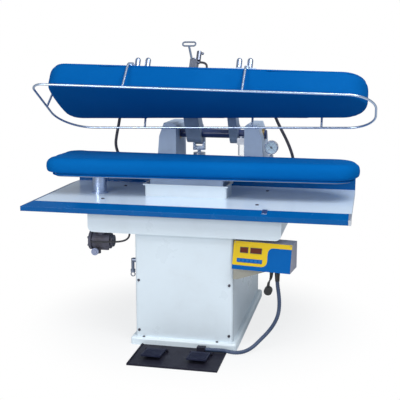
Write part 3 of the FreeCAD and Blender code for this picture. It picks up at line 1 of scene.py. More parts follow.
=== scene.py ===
# %% [markdown]
# A laundry press, dressed for the camera.
# The press stands ready as measured solids in metres: cabinet, table, uprights, levers, buck and head.
# The solids are the skeleton, so they are loaded first and never moved. Everything made below is laid
# on them: cloth over the padding, rubber round the hoses, paint on the sheet metal, and light around it.

# %% Load the solids
import math

import bmesh
import bpy
from mathutils import Matrix, Vector
from mathutils.geometry import convex_hull_2d
from mathutils.bvhtree import BVHTree


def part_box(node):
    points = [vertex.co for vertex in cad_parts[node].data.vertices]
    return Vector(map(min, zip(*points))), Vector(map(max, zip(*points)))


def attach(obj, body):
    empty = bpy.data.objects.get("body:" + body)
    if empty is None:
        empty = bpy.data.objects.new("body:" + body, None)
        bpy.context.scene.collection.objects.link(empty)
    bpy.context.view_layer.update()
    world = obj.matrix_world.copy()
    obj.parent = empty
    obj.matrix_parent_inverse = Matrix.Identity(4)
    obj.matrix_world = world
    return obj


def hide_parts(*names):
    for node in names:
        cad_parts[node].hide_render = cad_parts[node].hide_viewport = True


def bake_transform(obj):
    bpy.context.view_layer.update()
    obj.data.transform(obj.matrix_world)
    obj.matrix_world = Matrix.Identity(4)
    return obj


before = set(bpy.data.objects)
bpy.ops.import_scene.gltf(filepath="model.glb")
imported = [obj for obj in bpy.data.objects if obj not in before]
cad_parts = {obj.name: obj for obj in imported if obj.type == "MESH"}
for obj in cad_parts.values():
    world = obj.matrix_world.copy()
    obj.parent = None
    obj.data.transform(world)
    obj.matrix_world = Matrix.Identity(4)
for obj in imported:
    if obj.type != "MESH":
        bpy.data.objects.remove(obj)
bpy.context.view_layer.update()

# %% [markdown]
# The camera stands where the photographer stood: four metres in front, a little to the right and about
# level with the top of the open head. A long lens keeps the upright edges of the cabinet nearly parallel.
# It comes first, so that every later piece can be judged from the same place.

# %% Camera
CAMERA_PLACE = (0.8545, -4.0338, 1.4338)
LOOK_DOWN = 10.922
LOOK_LEFT = 12.123
SENSOR_WIDTH = 36.0
FOCAL_LENGTH = 72.88

lens = bpy.data.cameras.new("press_camera")
lens.sensor_width = SENSOR_WIDTH
lens.lens = FOCAL_LENGTH
camera = bpy.data.objects.new("press_camera", lens)
camera.location = CAMERA_PLACE
camera.rotation_euler = (math.radians(90 - LOOK_DOWN), 0, math.radians(LOOK_LEFT))
bpy.context.scene.collection.objects.link(camera)
bpy.context.scene.camera = camera
print("camera at", CAMERA_PLACE, "lens", lens.lens)

# %% [markdown]
# Two small helpers write most node trees in this lesson. The first adds a node and fills its sockets,
# either with a plain value or with the output of another node. The second starts a node group, which is
# an effect that can be used many times with other values. Building nodes in code looks longer than
# drawing them by hand, but every number stays visible and can be changed later.

# %% Helpers for node trees


def put(tree, kind, inputs=None, **settings):
    """Adds a node, then fills its sockets with values or with other nodes' outputs."""
    node = tree.nodes.new(kind)
    for name, value in settings.items():
        setattr(node, name, value)
    for key, value in (inputs or {}).items():
        if isinstance(value, bpy.types.NodeSocket):
            tree.links.new(value, node.inputs[key])
        else:
            node.inputs[key].default_value = value
    return node


def start_group(name, kind, inputs, outputs):
    """Makes a node group and returns it with its incoming and outgoing sockets."""
    group = bpy.data.node_groups.new(name, kind)
    for title, socket, value in inputs:
        made = group.interface.new_socket(title, in_out="INPUT", socket_type="NodeSocket" + socket)
        if value is not None:
            made.default_value = value
    for title, socket in outputs:
        group.interface.new_socket(title, in_out="OUTPUT", socket_type="NodeSocket" + socket)
    incoming = group.nodes.new("NodeGroupInput").outputs
    outgoing = group.nodes.new("NodeGroupOutput").inputs
    return group, incoming, outgoing


print("node and group helpers ready")

# %% [markdown]
# Most effects are sums on numbers, colours or places, and the same few sums come back again and again.
# A short function for each of them keeps the trees below readable. Patterns are read from the place on the
# object, so they stay put when it moves.

# %% Helpers for sums in a tree


def reckon(tree, operation, first, second=0.0, clamp=False):
    """One sum on numbers that change over a surface."""
    return put(tree, "ShaderNodeMath", {0: first, 1: second},
               operation=operation, use_clamp=clamp).outputs[0]


def spread(tree, value, low, high, to_low=0.0, to_high=1.0, smooth=False):
    """Maps a value from one range to another."""
    kind = "SMOOTHSTEP" if smooth else "LINEAR"
    return put(tree, "ShaderNodeMapRange", {0: value, 1: low, 2: high, 3: to_low, 4: to_high},
               interpolation_type=kind, clamp=True).outputs[0]


def tint(tree, share, first, second):
    """Mixes two colours. The colour sockets of a Mix node come after its number and vector sockets."""
    return put(tree, "ShaderNodeMix", {0: share, 6: first, 7: second}, data_type="RGBA").outputs[2]


def place_on(tree):
    """Where a point lies on its object, so that a pattern stays put when the object moves."""
    return put(tree, "ShaderNodeTexCoord").outputs["Object"]


def noise(tree, place, scale, detail, roughness=0.5):
    values = {"Vector": place, "Scale": scale, "Detail": detail, "Roughness": roughness}
    return put(tree, "ShaderNodeTexNoise", values).outputs["Fac"]


def on_vectors(tree, operation, first, second=None, answer="Vector"):
    """One sum on vectors, which answers with a vector or with a value."""
    values = {0: first} if second is None else {0: first, 1: second}
    return put(tree, "ShaderNodeVectorMath", values, operation=operation).outputs[answer]


def lengthened(tree, vector, factor):
    return put(tree, "ShaderNodeVectorMath", {0: vector, "Scale": factor}, operation="SCALE").outputs[0]


def axes_of(tree, vector):
    return put(tree, "ShaderNodeSeparateXYZ", {0: vector}).outputs


print("helpers for sums ready")

# %% [markdown]
# Paint on a workshop machine is never one flat colour. Sprayed enamel has a faint skin like orange peel,
# it dulls in clouds where hands and cloths have wiped it, and dust settles close to the floor.
# The group below makes these three from the place on the object, so that they stay put when it moves.

# %% Effect: paint skin
PEEL_SCALE = 420.0
DUST_TOP = 0.22
DUST_AMOUNT = 0.3

PAINT_SKIN, given, result = start_group(
    "paint_skin", "ShaderNodeTree",
    [("Colour", "Color", (0.8, 0.8, 0.8, 1)), ("Soil", "Color", (0.4, 0.38, 0.34, 1)),
     ("Soil Amount", "Float", 0.2), ("Cloud Size", "Float", 5.0), ("Dullness", "Float", 0.3)],
    [("Colour", "Color"), ("Roughness", "Float"), ("Height", "Float")])
place = place_on(PAINT_SKIN)
clouds = noise(PAINT_SKIN, place, given["Cloud Size"], 5.0, 0.62)
peel = noise(PAINT_SKIN, place, PEEL_SCALE, 2.0)
level = axes_of(PAINT_SKIN, place)["Z"]
low_dust = spread(PAINT_SKIN, level, 0.0, DUST_TOP, DUST_AMOUNT, 0.0, smooth=True)
smear = spread(PAINT_SKIN, clouds, 0.42, 0.78, smooth=True)
dirt = reckon(PAINT_SKIN, "ADD", smear, low_dust)
soiled = reckon(PAINT_SKIN, "MULTIPLY", dirt, given["Soil Amount"], True)
PAINT_SKIN.links.new(tint(PAINT_SKIN, soiled, given["Colour"], given["Soil"]), result["Colour"])
dull = reckon(PAINT_SKIN, "ADD", given["Dullness"], spread(PAINT_SKIN, clouds, 0.3, 0.8, -0.05, 0.12))
PAINT_SKIN.links.new(dull, result["Roughness"])
PAINT_SKIN.links.new(peel, result["Height"])
print("effect:", PAINT_SKIN.name)

# %% [markdown]
# Edges lose their paint first, because everything that passes rubs on them. The Bevel node shoots short
# rays and gives the normal that a rounded edge would have. Where that differs from the real normal
# there is an edge, and a coarse noise breaks the edge into chips instead of an even line.

# %% Effect: edge wear
CHIP_SCALE = 95.0

EDGE_WEAR, given, result = start_group(
    "edge_wear", "ShaderNodeTree",
    [("Reach", "Float", 0.002), ("Amount", "Float", 0.6)], [("Worn", "Float")])
rounded = put(EDGE_WEAR, "ShaderNodeBevel", {"Radius": given["Reach"]}, samples=6).outputs[0]
true_normal = put(EDGE_WEAR, "ShaderNodeNewGeometry").outputs["Normal"]
likeness = on_vectors(EDGE_WEAR, "DOT_PRODUCT", rounded, true_normal, "Value")
edge = spread(EDGE_WEAR, likeness, 0.995, 0.86, 0.0, 1.0)
chips = noise(EDGE_WEAR, place_on(EDGE_WEAR), CHIP_SCALE, 4.0)
broken = reckon(EDGE_WEAR, "MULTIPLY", edge, spread(EDGE_WEAR, chips, 0.44, 0.66, smooth=True))
EDGE_WEAR.links.new(reckon(EDGE_WEAR, "MULTIPLY", broken, given["Amount"], True), result["Worn"])
print("effect:", EDGE_WEAR.name)

# %% [markdown]
# Press covers are plain woven polyester, about twelve threads to the centimetre. Two crossing sine waves
# give the over and under of a plain weave. A wave pattern needs a flat place to lie on, so it is worked
# out on three planes at once and mixed by the way the surface faces. The head is tilted, and a turn of
# the coordinates lets its threads run along the head instead of along the floor.

# %% Effect: plain weave
THREADS_PER_METRE = 1200.0

WEAVE, given, result = start_group(
    "plain_weave", "ShaderNodeTree",
    [("Threads", "Float", THREADS_PER_METRE), ("Turn", "Vector", (0.0, 0.0, 0.0))],
    [("Height", "Float"), ("Fade", "Float"), ("Downward", "Float")])
spot = put(WEAVE, "ShaderNodeTexCoord").outputs
turned_place = put(WEAVE, "ShaderNodeMapping",
                   {"Vector": spot["Object"], "Rotation": given["Turn"]}).outputs[0]
turned_facing = put(WEAVE, "ShaderNodeMapping", {"Vector": spot["Normal"], "Rotation": given["Turn"]},
                    vector_type="VECTOR").outputs[0]
per_metre = reckon(WEAVE, "MULTIPLY", given["Threads"], math.pi)
waves = axes_of(WEAVE, on_vectors(WEAVE, "SINE", lengthened(WEAVE, turned_place, per_metre)))
first = put(WEAVE, "ShaderNodeCombineXYZ", {0: waves[1], 1: waves[0], 2: waves[0]}).outputs[0]
second = put(WEAVE, "ShaderNodeCombineXYZ", {0: waves[2], 1: waves[2], 2: waves[1]}).outputs[0]
crossed = on_vectors(WEAVE, "MULTIPLY", first, second)
facing = on_vectors(WEAVE, "MULTIPLY", turned_facing, turned_facing)
weave = on_vectors(WEAVE, "DOT_PRODUCT", crossed, facing, "Value")
WEAVE.links.new(spread(WEAVE, weave, -1.0, 1.0), result["Height"])
pressed = noise(WEAVE, turned_place, 3.2, 4.0, 0.55)
WEAVE.links.new(spread(WEAVE, pressed, 0.35, 0.72, smooth=True), result["Fade"])
# The Downward share marks where the cloth faces down; the head's cloth uses it for painted shade.
rise = axes_of(WEAVE, turned_facing)["Z"]
WEAVE.links.new(spread(WEAVE, rise, -0.55, -0.9, smooth=True), result["Downward"])
print("effect:", WEAVE.name)

# %% [markdown]
# Metal shows how it was made. Turned and drawn bar has fine lines along it, a casting has a pebbled skin.
# One group serves both: a noise that is stretched differently along each axis. A large stretch gives
# long brush lines, and an even one gives the sand-cast pebble.

# %% Effect: metal grain
STAIN_SCALE = 22.0

GRAIN, given, result = start_group(
    "metal_grain", "ShaderNodeTree",
    [("Stretch", "Vector", (200.0, 200.0, 200.0)), ("Dullness", "Float", 0.3), ("Swing", "Float", 0.1)],
    [("Height", "Float"), ("Roughness", "Float"), ("Stain", "Float")])
place = place_on(GRAIN)
lines = noise(GRAIN, on_vectors(GRAIN, "MULTIPLY", place, given["Stretch"]), 1.0, 4.0)
stain = noise(GRAIN, place, STAIN_SCALE, 5.0)
GRAIN.links.new(lines, result["Height"])
swing = reckon(GRAIN, "MULTIPLY", spread(GRAIN, lines, 0.25, 0.75, -1.0, 1.0), given["Swing"])
GRAIN.links.new(reckon(GRAIN, "ADD", given["Dullness"], swing, True), result["Roughness"])
GRAIN.links.new(spread(GRAIN, stain, 0.4, 0.75, smooth=True), result["Stain"])
print("effect:", GRAIN.name)

# %% [markdown]
# Finishes come next. Every finish is one Principled shader. What is the same all over, such as a coat or
# a sheen, is set on the shader itself, and only what changes over the surface comes from the effects.
# A height becomes a bump on the normal, because such fine relief would need far too many faces.

# %% Helpers for finishes


def new_finish(name, fixed):
    """A material whose shader has these plain values."""
    material = bpy.data.materials.new(name)
    material.use_nodes = True
    shader = material.node_tree.nodes["Principled BSDF"]
    for title, value in fixed.items():
        shader.inputs[title].default_value = value
    return material, material.node_tree, shader


def raise_skin(tree, shader, height, depth, strength=1.0, round_edge=0.0):
    """Turns a height into a bump on the shader's normal, on edges that may be rounded first."""
    bump = put(tree, "ShaderNodeBump", {"Height": height, "Distance": depth, "Strength": strength})
    if round_edge > 0:
        rounded = put(tree, "ShaderNodeBevel", {"Radius": round_edge}, samples=8).outputs[0]
        tree.links.new(rounded, bump.inputs["Normal"])
    tree.links.new(bump.outputs[0], shader.inputs["Normal"])


print("helpers for finishes ready")

# %% [markdown]
# The first recipe is sprayed enamel for sheet metal and castings. The skin gives its colour and dullness,
# and where an edge is chipped the bare iron shows. Castings are rougher and duller than sheet metal, so they
# share a set of values.

# %% Recipe: enamel
BARE_IRON = (0.30, 0.31, 0.33, 1)
CHIP_REACH = 0.0016


def enamel(name, colour, soil, soil_amount=0.16, dullness=0.3, chips=0.35, coat=0.25, peel_depth=0.0002,
           cloud=5.0):
    material, tree, shader = new_finish(name, {"Coat Weight": coat, "Coat Roughness": 0.12})
    skin = put(tree, "ShaderNodeGroup", {"Colour": colour, "Soil": soil, "Soil Amount": soil_amount,
                                         "Cloud Size": cloud, "Dullness": dullness}, node_tree=PAINT_SKIN)
    worn = put(tree, "ShaderNodeGroup", {"Reach": CHIP_REACH, "Amount": chips},
               node_tree=EDGE_WEAR).outputs["Worn"]
    tree.links.new(tint(tree, worn, skin.outputs["Colour"], BARE_IRON), shader.inputs["Base Color"])
    tree.links.new(skin.outputs["Roughness"], shader.inputs["Roughness"])
    raise_skin(tree, shader, skin.outputs["Height"], peel_depth, 0.35)
    return material


CASTING = {"dullness": 0.42, "chips": 0.5, "coat": 0.1, "peel_depth": 0.0006, "cloud": 9.0}
WHITE_ENAMEL = enamel("white_enamel", (0.70, 0.79, 0.86, 1), (0.46, 0.48, 0.50, 1))
PLINTH_ENAMEL = enamel("plinth_enamel", (0.76, 0.86, 0.93, 1), (0.42, 0.43, 0.43, 1), soil_amount=0.2)
FRAME_ENAMEL = enamel("frame_enamel", (0.46, 0.59, 0.80, 1), (0.20, 0.26, 0.36, 1), 0.25, **CASTING)
LEVER_ENAMEL = enamel("lever_enamel", (0.26, 0.35, 0.50, 1), (0.10, 0.13, 0.20, 1), 0.4, **CASTING)
SHAFT_ENAMEL = enamel("shaft_enamel", (0.020, 0.045, 0.16, 1), (0.03, 0.03, 0.04, 1), dullness=0.34,
                      chips=0.6)
BOX_ENAMEL = enamel("box_enamel", (0.26, 0.265, 0.34, 1), (0.15, 0.14, 0.15, 1), dullness=0.4, coat=0.1)
BRACKET_ENAMEL = enamel("bracket_enamel", (0.42, 0.41, 0.35, 1), (0.24, 0.22, 0.17, 1), soil_amount=0.3)
HANDLE_ENAMEL = enamel("handle_enamel", (0.11, 0.15, 0.23, 1), (0.04, 0.05, 0.07, 1), dullness=0.36)
MOTOR_ENAMEL = enamel("motor_enamel", (0.22, 0.24, 0.27, 1), (0.10, 0.10, 0.10, 1), dullness=0.5)
print("enamels made")

# %% [markdown]
# The second recipe is bare metal: chrome on the guard rail, bright steel on the post and the bolts, cast
# aluminium and iron, brass in the unions. They differ in colour, in grain and in how dull they are.
# A darker stain in clouds stands for the film of oil and steam that every press collects.

# %% Recipe: bare metal


def bare_metal(name, colour, stain, stretch, dullness, swing=0.08, stain_amount=0.3, depth=0.00005,
               metallic=1.0):
    material, tree, shader = new_finish(name, {"Metallic": metallic})
    grain = put(tree, "ShaderNodeGroup", {"Stretch": stretch, "Dullness": dullness, "Swing": swing},
                node_tree=GRAIN)
    share = reckon(tree, "MULTIPLY", grain.outputs["Stain"], stain_amount)
    tree.links.new(tint(tree, share, colour, stain), shader.inputs["Base Color"])
    tree.links.new(grain.outputs["Roughness"], shader.inputs["Roughness"])
    raise_skin(tree, shader, grain.outputs["Height"], depth, 0.6)
    return material


CHROME = bare_metal("chrome", (0.58, 0.70, 0.90, 1), (0.40, 0.48, 0.62, 1), (12, 90, 90), 0.28, 0.05, 0.3,
                    0.000004)
PLATE_STEEL = bare_metal("plate_steel", (0.26, 0.32, 0.44, 1), (0.16, 0.19, 0.26, 1), (60, 60, 60), 0.48)
BRIGHT_STEEL = bare_metal("bright_steel", (0.50, 0.60, 0.82, 1), (0.30, 0.35, 0.46, 1), (60, 60, 300), 0.3,
                          depth=0.00001)
CAST_ALUMINIUM = bare_metal("cast_aluminium", (0.74, 0.77, 0.82, 1), (0.40, 0.40, 0.40, 1),
                            (260, 260, 260), 0.42, 0.1, 0.35, 0.0004)
BRASS = bare_metal("brass", (0.66, 0.48, 0.20, 1), (0.26, 0.18, 0.09, 1), (60, 60, 700), 0.3, 0.1, 0.45)
VALVE_METAL = bare_metal("valve_metal", (0.24, 0.27, 0.35, 1), (0.12, 0.12, 0.15, 1),
                         (180, 180, 180), 0.38, 0.1, 0.4, 0.0002)
GAUGE_STEEL = bare_metal("gauge_steel", (0.82, 0.86, 0.94, 1), (0.48, 0.50, 0.55, 1), (90, 90, 90), 0.26)
TRAP_IRON = bare_metal("trap_iron", (0.10, 0.10, 0.14, 1), (0.05, 0.04, 0.04, 1), (240, 240, 240),
                       0.6, 0.12, 0.6, 0.0006, metallic=0.3)
DARK_SCREW = bare_metal("dark_screw", (0.10, 0.10, 0.13, 1), (0.05, 0.04, 0.04, 1), (200, 200, 200), 0.4)
print("metals made")

# %% [markdown]
# The third recipe is moulded stuff: rubber, plastic and laminate. These have no grain of their own, only
# a fine pebble from the mould and a little dust or polish where they are touched.

# %% Recipe: moulded


def moulded(name, colour, worn_colour, dullness=0.5, pebble=300.0, depth=0.0002, worn_amount=0.3, coat=0.0,
            cloud=14.0, shine=0.5, round_edge=0.0):
    material, tree, shader = new_finish(name, {"Coat Weight": coat, "Coat Roughness": 0.08,
                                               "Specular IOR Level": shine})
    grain = put(tree, "ShaderNodeGroup", {"Stretch": (pebble, pebble, pebble), "Dullness": dullness,
                                          "Swing": 0.08}, node_tree=GRAIN)
    rubbed = noise(tree, place_on(tree), cloud, 4.0)
    share = spread(tree, rubbed, 0.4, 0.75, 0.0, worn_amount, smooth=True)
    tree.links.new(tint(tree, share, colour, worn_colour), shader.inputs["Base Color"])
    tree.links.new(grain.outputs["Roughness"], shader.inputs["Roughness"])
    raise_skin(tree, shader, grain.outputs["Height"], depth, 0.5, round_edge)
    return material


FOOT_RUBBER = {"pebble": 180.0, "depth": 0.0005, "worn_amount": 0.4}
HOSE_RUBBER = moulded("hose_rubber", (0.022, 0.022, 0.030, 1), (0.07, 0.07, 0.08, 1), 0.48)
HOSE_WRAP = moulded("hose_wrap", (0.035, 0.060, 0.125, 1), (0.12, 0.15, 0.24, 1), 0.34, worn_amount=0.5)
STEAM_HOSE = moulded("steam_hose", (0.045, 0.045, 0.065, 1), (0.10, 0.10, 0.14, 1), 0.5, worn_amount=0.4)
AIR_TUBE = moulded("air_tube_blue", (0.02, 0.10, 0.42, 1), (0.06, 0.16, 0.5, 1), 0.25)
GLAND_BLACK = moulded("gland_black", (0.016, 0.016, 0.018, 1), (0.05, 0.05, 0.05, 1), 0.4)
PEDAL_BLACK = moulded("pedal_black", (0.014, 0.014, 0.026, 1), (0.034, 0.035, 0.052, 1), 0.55, shine=0.15,
                      **FOOT_RUBBER)
PEDAL_PAD = moulded("pedal_pad", (0.012, 0.015, 0.038, 1), (0.026, 0.032, 0.065, 1), 0.6, shine=0.12,
                    **FOOT_RUBBER)
KNOB_GREY = moulded("knob_grey", (0.27, 0.31, 0.46, 1), (0.20, 0.23, 0.32, 1), 0.4)
SEAL_GREY = moulded("seal_grey", (0.26, 0.29, 0.32, 1), (0.34, 0.37, 0.40, 1), 0.6)
TABLE_LAMINATE = moulded("table_laminate", (0.70, 0.84, 1.0, 1), (0.64, 0.78, 0.96, 1), 0.24, pebble=700.0,
                         depth=0.00004, worn_amount=0.4, coat=0.25, cloud=6.0)
BLUE_EDGE = moulded("blue_edge", (0.0006, 0.086, 0.30, 1), (0.001, 0.105, 0.345, 1), 0.22, pebble=40.0,
                    depth=0.00002, worn_amount=0.6, shine=0.18, round_edge=0.004)
NEEDLE_BLACK = moulded("needle_black", (0.012, 0.012, 0.015, 1), (0.03, 0.03, 0.03, 1), 0.4)
DIAL_FACE = moulded("dial_face", (0.62, 0.81, 0.97, 1), (0.66, 0.83, 0.97, 1), 0.45)
PANEL_YELLOW = moulded("panel_yellow", (0.68, 0.47, 0.008, 1), (0.64, 0.43, 0.012, 1), 0.42, shine=0.12)
PANEL_BLUE = moulded("panel_blue", (0.001, 0.098, 0.355, 1), (0.003, 0.108, 0.375, 1), 0.5, shine=0.04)
KEY_BLUE = moulded("key_blue", (0.012, 0.135, 0.43, 1), (0.03, 0.16, 0.46, 1), 0.5, shine=0.06)
DISPLAY_RED = moulded("display_red", (0.105, 0.018, 0.012, 1), (0.13, 0.024, 0.016, 1), 0.5, shine=0.12)
print("moulded finishes made")

# %% [markdown]
# The clear bowl of the air filter and the gauge's window are the only glass. Both let light through, so
# they keep a plain transmission and no bump. The window is thin and clean, so most of the light passes it
# untouched and the dial behind stays bright. A faint smear in the roughness shows that it is there.

# %% Recipe: clear pieces


def clear(name, colour, dullness, presence):
    """Glass or clear plastic. Presence is the share of the light that it touches at all."""
    material, tree, shader = new_finish(name, {"Base Color": colour, "Transmission Weight": 1.0, "IOR": 1.45,
                                               "Alpha": presence})
    smear = noise(tree, place_on(tree), 60.0, 3.0)
    tree.links.new(spread(tree, smear, 0.3, 0.8, dullness, dullness + 0.08), shader.inputs["Roughness"])
    return material


CLEAR_GLASS = clear("clear_glass", (0.96, 0.98, 1.0, 1), 0.01, 0.15)
CLEAR_BOWL = clear("clear_bowl", (0.86, 0.90, 0.94, 1), 0.06, 0.6)
print("clear finishes made")

# %% [markdown]
# The blue cover cloth gets the weave, a faded patch here and there from steam, and a soft sheen at grazing
# angles from the fuzz of its threads. The hollows between the threads are painted a deeper blue, as painted
# shade.
# There are two versions: one for the level buck, and one for the head, which rests tilted back by 31.5
# degrees.
# The head's copy of the same cloth is written darker all over, as painted shade, and wherever it faces down
# its
# colour goes deeper still: painted shade for the half shade that the head's pressing face lies in.

# %% Recipe: cover cloth
HEAD_TILT = math.radians(31.5)


def cover_cloth(name, turn, colour, pale, deep, face_down_shade):
    material, tree, shader = new_finish(name, {"Sheen Weight": 0.02, "Sheen Roughness": 0.5,
                                               "Sheen Tint": (0.02, 0.4, 1.0, 1),
                                               "Specular IOR Level": 0.01})
    threads = put(tree, "ShaderNodeGroup", {"Threads": THREADS_PER_METRE, "Turn": turn}, node_tree=WEAVE)
    faded = tint(tree, threads.outputs["Fade"], colour, pale)
    # Painted shade: the hollows between the threads are mixed towards the deep blue.
    hollow = spread(tree, threads.outputs["Height"], 0.0, 0.6, 0.16, 0.0)
    woven = tint(tree, hollow, faded, deep)
    # Painted shade: wherever the cloth faces down it is mixed towards the deep blue.
    painted_shade_share = reckon(tree, "MULTIPLY", threads.outputs["Downward"], face_down_shade)
    tree.links.new(tint(tree, painted_shade_share, woven, deep), shader.inputs["Base Color"])
    tree.links.new(spread(tree, threads.outputs["Fade"], 0.0, 1.0, 0.78, 0.66), shader.inputs["Roughness"])
    raise_skin(tree, shader, threads.outputs["Height"], 0.0003, 0.5)
    return material


BUCK_CLOTH = cover_cloth("buck_cloth", (0.0, 0.0, 0.0), (0.001, 0.108, 0.375, 1), (0.002, 0.120, 0.40, 1),
                         (0.001, 0.052, 0.20, 1), 0.0)
# The head's cloth is the same cloth as the buck's, written darker all over: painted shade on the tilted
# head.
HEAD_CLOTH = cover_cloth("head_cloth", (HEAD_TILT, 0.0, 0.0), (0.001, 0.092, 0.335, 1),
                         (0.002, 0.103, 0.36, 1), (0.001, 0.042, 0.17, 1), 0.36)
print("cover cloth made")

# %% [markdown]
# Now each solid gets its finish. A solid has one material slot, so a list of names per finish is all that
# is needed. The soft solids and the cords are left out here, because pieces of their own replace them.

# %% Finishes on the solids
FINISHES = {
    WHITE_ENAMEL: "cabinet_shell front_panel rear_panel chassis_box buck_duct",
    PLINTH_ENAMEL: "base_plinth",
    FRAME_ENAMEL: "left_upright right_upright head_yoke head_lid buck_neck",
    LEVER_ENAMEL: "main_lever side_lever",
    SHAFT_ENAMEL: "main_shaft",
    TABLE_LAMINATE: "table_top",
    BLUE_EDGE: "table_trim rear_upstand",
    CHROME: "guard_rail rail_stays piston_rod",
    BRIGHT_STEEL: "buck_post upright_bolts yoke_studs",
    PLATE_STEEL: "buck_plate",
    DARK_SCREW: "panel_screws",
    CAST_ALUMINIUM: "head_platen air_cylinder filter_head",
    BRASS: "shaft_bushes deck_unions head_unions",
    VALVE_METAL: "steam_valve drain_cock",
    HANDLE_ENAMEL: "steam_lever",
    GAUGE_STEEL: "gauge_case",
    TRAP_IRON: "trap_body",
    DIAL_FACE: "gauge_dial",
    NEEDLE_BLACK: "gauge_needle",
    CLEAR_GLASS: "gauge_glass",
    CLEAR_BOWL: "filter_bowl",
    BOX_ENAMEL: "control_case",
    PANEL_YELLOW: "control_panel",
    DISPLAY_RED: "display_windows",
    GLAND_BLACK: "cable_glands mains_plug",
    BRACKET_ENAMEL: "control_bracket",
    PEDAL_BLACK: "pedal_plate",
    PEDAL_PAD: "left_pedal right_pedal",
    KNOB_GREY: "trap_knob",
    MOTOR_ENAMEL: "vacuum_unit",
}
for finish, names in FINISHES.items():
    for name in names.split():
        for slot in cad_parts[name].material_slots:
            slot.material = finish
print("solids with a finish:", sum(len(names.split()) for names in FINISHES.values()))

# %% [markdown]
# A hose or a cable is a fixed length of something bendy, so it begins as one smooth line. The points are
# the places that it is led through, in millimetres, and a NURBS spline runs softly past them without the
# kinks of bent wire. The first and last points sit on the fittings, so the spline is told to reach them.

# %% Routes of the hoses and leads
ROUTES = {
    "left_hose": [(-480, 119.03, 1156.16), (-480, 148.02, 1138.40), (-488, 186, 1090), (-503, 204, 1040),
                  (-514, 208, 990), (-524, 204, 940), (-530, 201, 895), (-522, 205, 850), (-500, 218, 812),
                  (-470, 232, 780), (-450, 241, 740), (-450, 241, 690)],
    "right_hose": [(330, 119.03, 1156.16), (330, 148.02, 1138.40), (338, 186, 1092), (354, 204, 1044),
                   (376, 209, 998), (402, 206, 952), (426, 203, 902), (444, 207, 850), (450, 224, 798),
                   (445, 241, 740), (445, 241, 690)],
    "valve_hose": [(-1, -59.64, 1343.07), (15, -59.64, 1343.07), (31, -63.30, 1337.10),
                   (39, -70.09, 1326.01), (39, -87.85, 1297.02)],
    "plug_lead": [(420.25, -444.69, 398), (420.25, -444.69, 381), (415.25, -446.69, 364),
                  (407.25, -450.69, 348), (407.25, -450.69, 332)],
    "pedal_hose": [(447.98, -448.59, 398), (447.98, -448.59, 352), (455.98, -446.59, 302),
                   (459.98, -440.59, 248), (453.98, -428.59, 192), (433.98, -412.59, 140),
                   (403.98, -406.59, 94), (368, -418, 56), (338, -440, 27), (304, -464, 11.5),
                   (270, -482, 9.6), (242, -490, 13), (216, -492, 18.8), (188, -491, 19),
                   (150, -490.5, 17), (120, -490.5, 17)],
    "air_tube": [(238, -320.5, 376), (260, -320.5, 376), (282, -326.5, 360), (304, -338.5, 356),
                 (324, -350.5, 372), (330, -356.5, 392), (330, -356.5, 408)],
    "trap_lead": [(-270, -404.5, 551), (-270, -404.5, 527), (-287, -404.5, 507), (-318, -404.5, 497),
                  (-356, -404.5, 494), (-396, -404.5, 491), (-434, -404.5, 489), (-469, -404.5, 489)],
}
print("routes:", len(ROUTES))

# %% [markdown]
# A route only lists places. It becomes a curve object, and what Blender makes of the curve is read back as a
# row of points, because the true length of a hose lies along the smooth line and not along the route.

# %% Lines along the routes
LINE_STEPS = 16


def metres(point):
    return Vector(point) / 1000.0


def plain_line(name, points, closed=False, kind="POLY"):
    """A line straight through points, or past them if it is a NURBS line."""
    curve = bpy.data.curves.new(name, "CURVE")
    curve.dimensions = "3D"
    curve.resolution_u = LINE_STEPS
    spline = curve.splines.new(kind)
    spline.points.add(len(points) - 1)
    for control, point in zip(spline.points, points):
        control.co = (*point, 1.0)
    spline.use_cyclic_u = closed
    line = bpy.data.objects.new(name, curve)
    bpy.context.scene.collection.objects.link(line)
    return line


def route_line(name):
    """A smooth line led past the route's points."""
    line = plain_line(name + "_line", [metres(point) for point in ROUTES[name]], kind="NURBS")
    spline = line.data.splines[0]
    spline.order_u = 3
    spline.use_endpoint_u = True
    return line


def points_along(line):
    """The points of a smooth line, read back from Blender."""
    mesh = bpy.data.meshes.new_from_object(line)
    points = [vertex.co.copy() for vertex in mesh.vertices]
    bpy.data.meshes.remove(mesh)
    return points


def run_length(points):
    return sum((after - before).length for before, after in zip(points, points[1:]))


for name in ROUTES:
    line = route_line(name)
    print(name, "length", round(run_length(points_along(line)) * 1000), "mm")
    bpy.data.objects.remove(line, do_unlink=True)

# %% [markdown]
# Two steps come back in the trees that grow a piece. A number has to be caught on the points before the
# shape changes, or it is lost. And at the end copies have to become real faces with a finish, because the
# finished model keeps no live tree.

# %% Helpers for growth


def caught(tree, geometry, name, value):
    """Keeps a number on the points for later use."""
    node = tree.nodes.new("GeometryNodeCaptureAttribute")
    node.capture_items.new("FLOAT", name)
    tree.links.new(geometry, node.inputs["Geometry"])
    tree.links.new(value, node.inputs[1])
    return node.outputs["Geometry"], node.outputs[1]


def end_growth(tree, geometry, given, result):
    """Makes real faces of what has grown and gives them their finish."""
    real = put(tree, "GeometryNodeRealizeInstances", {"Geometry": geometry}).outputs[0]
    painted = put(tree, "GeometryNodeSetMaterial", {"Geometry": real, "Material": given["Finish"]})
    tree.links.new(painted.outputs[0], result["Geometry"])
    print("growth:", tree.name)


print("helpers for growth ready")

# %% [markdown]
# The line becomes a hose with Geometry Nodes. A circle is swept along the line, and while it is swept two
# numbers are caught: how far along a point lies and how far round. Together they give the phase of a
# spiral, so the same tree makes a smooth hose when the wrap has no height, and a cable in a spiral wrap
# when it has some. The pedal cable on this press is wrapped like that from the control box to the floor.

# %% Growth: hose with a spiral wrap
WRAP_SLOPE = 0.10

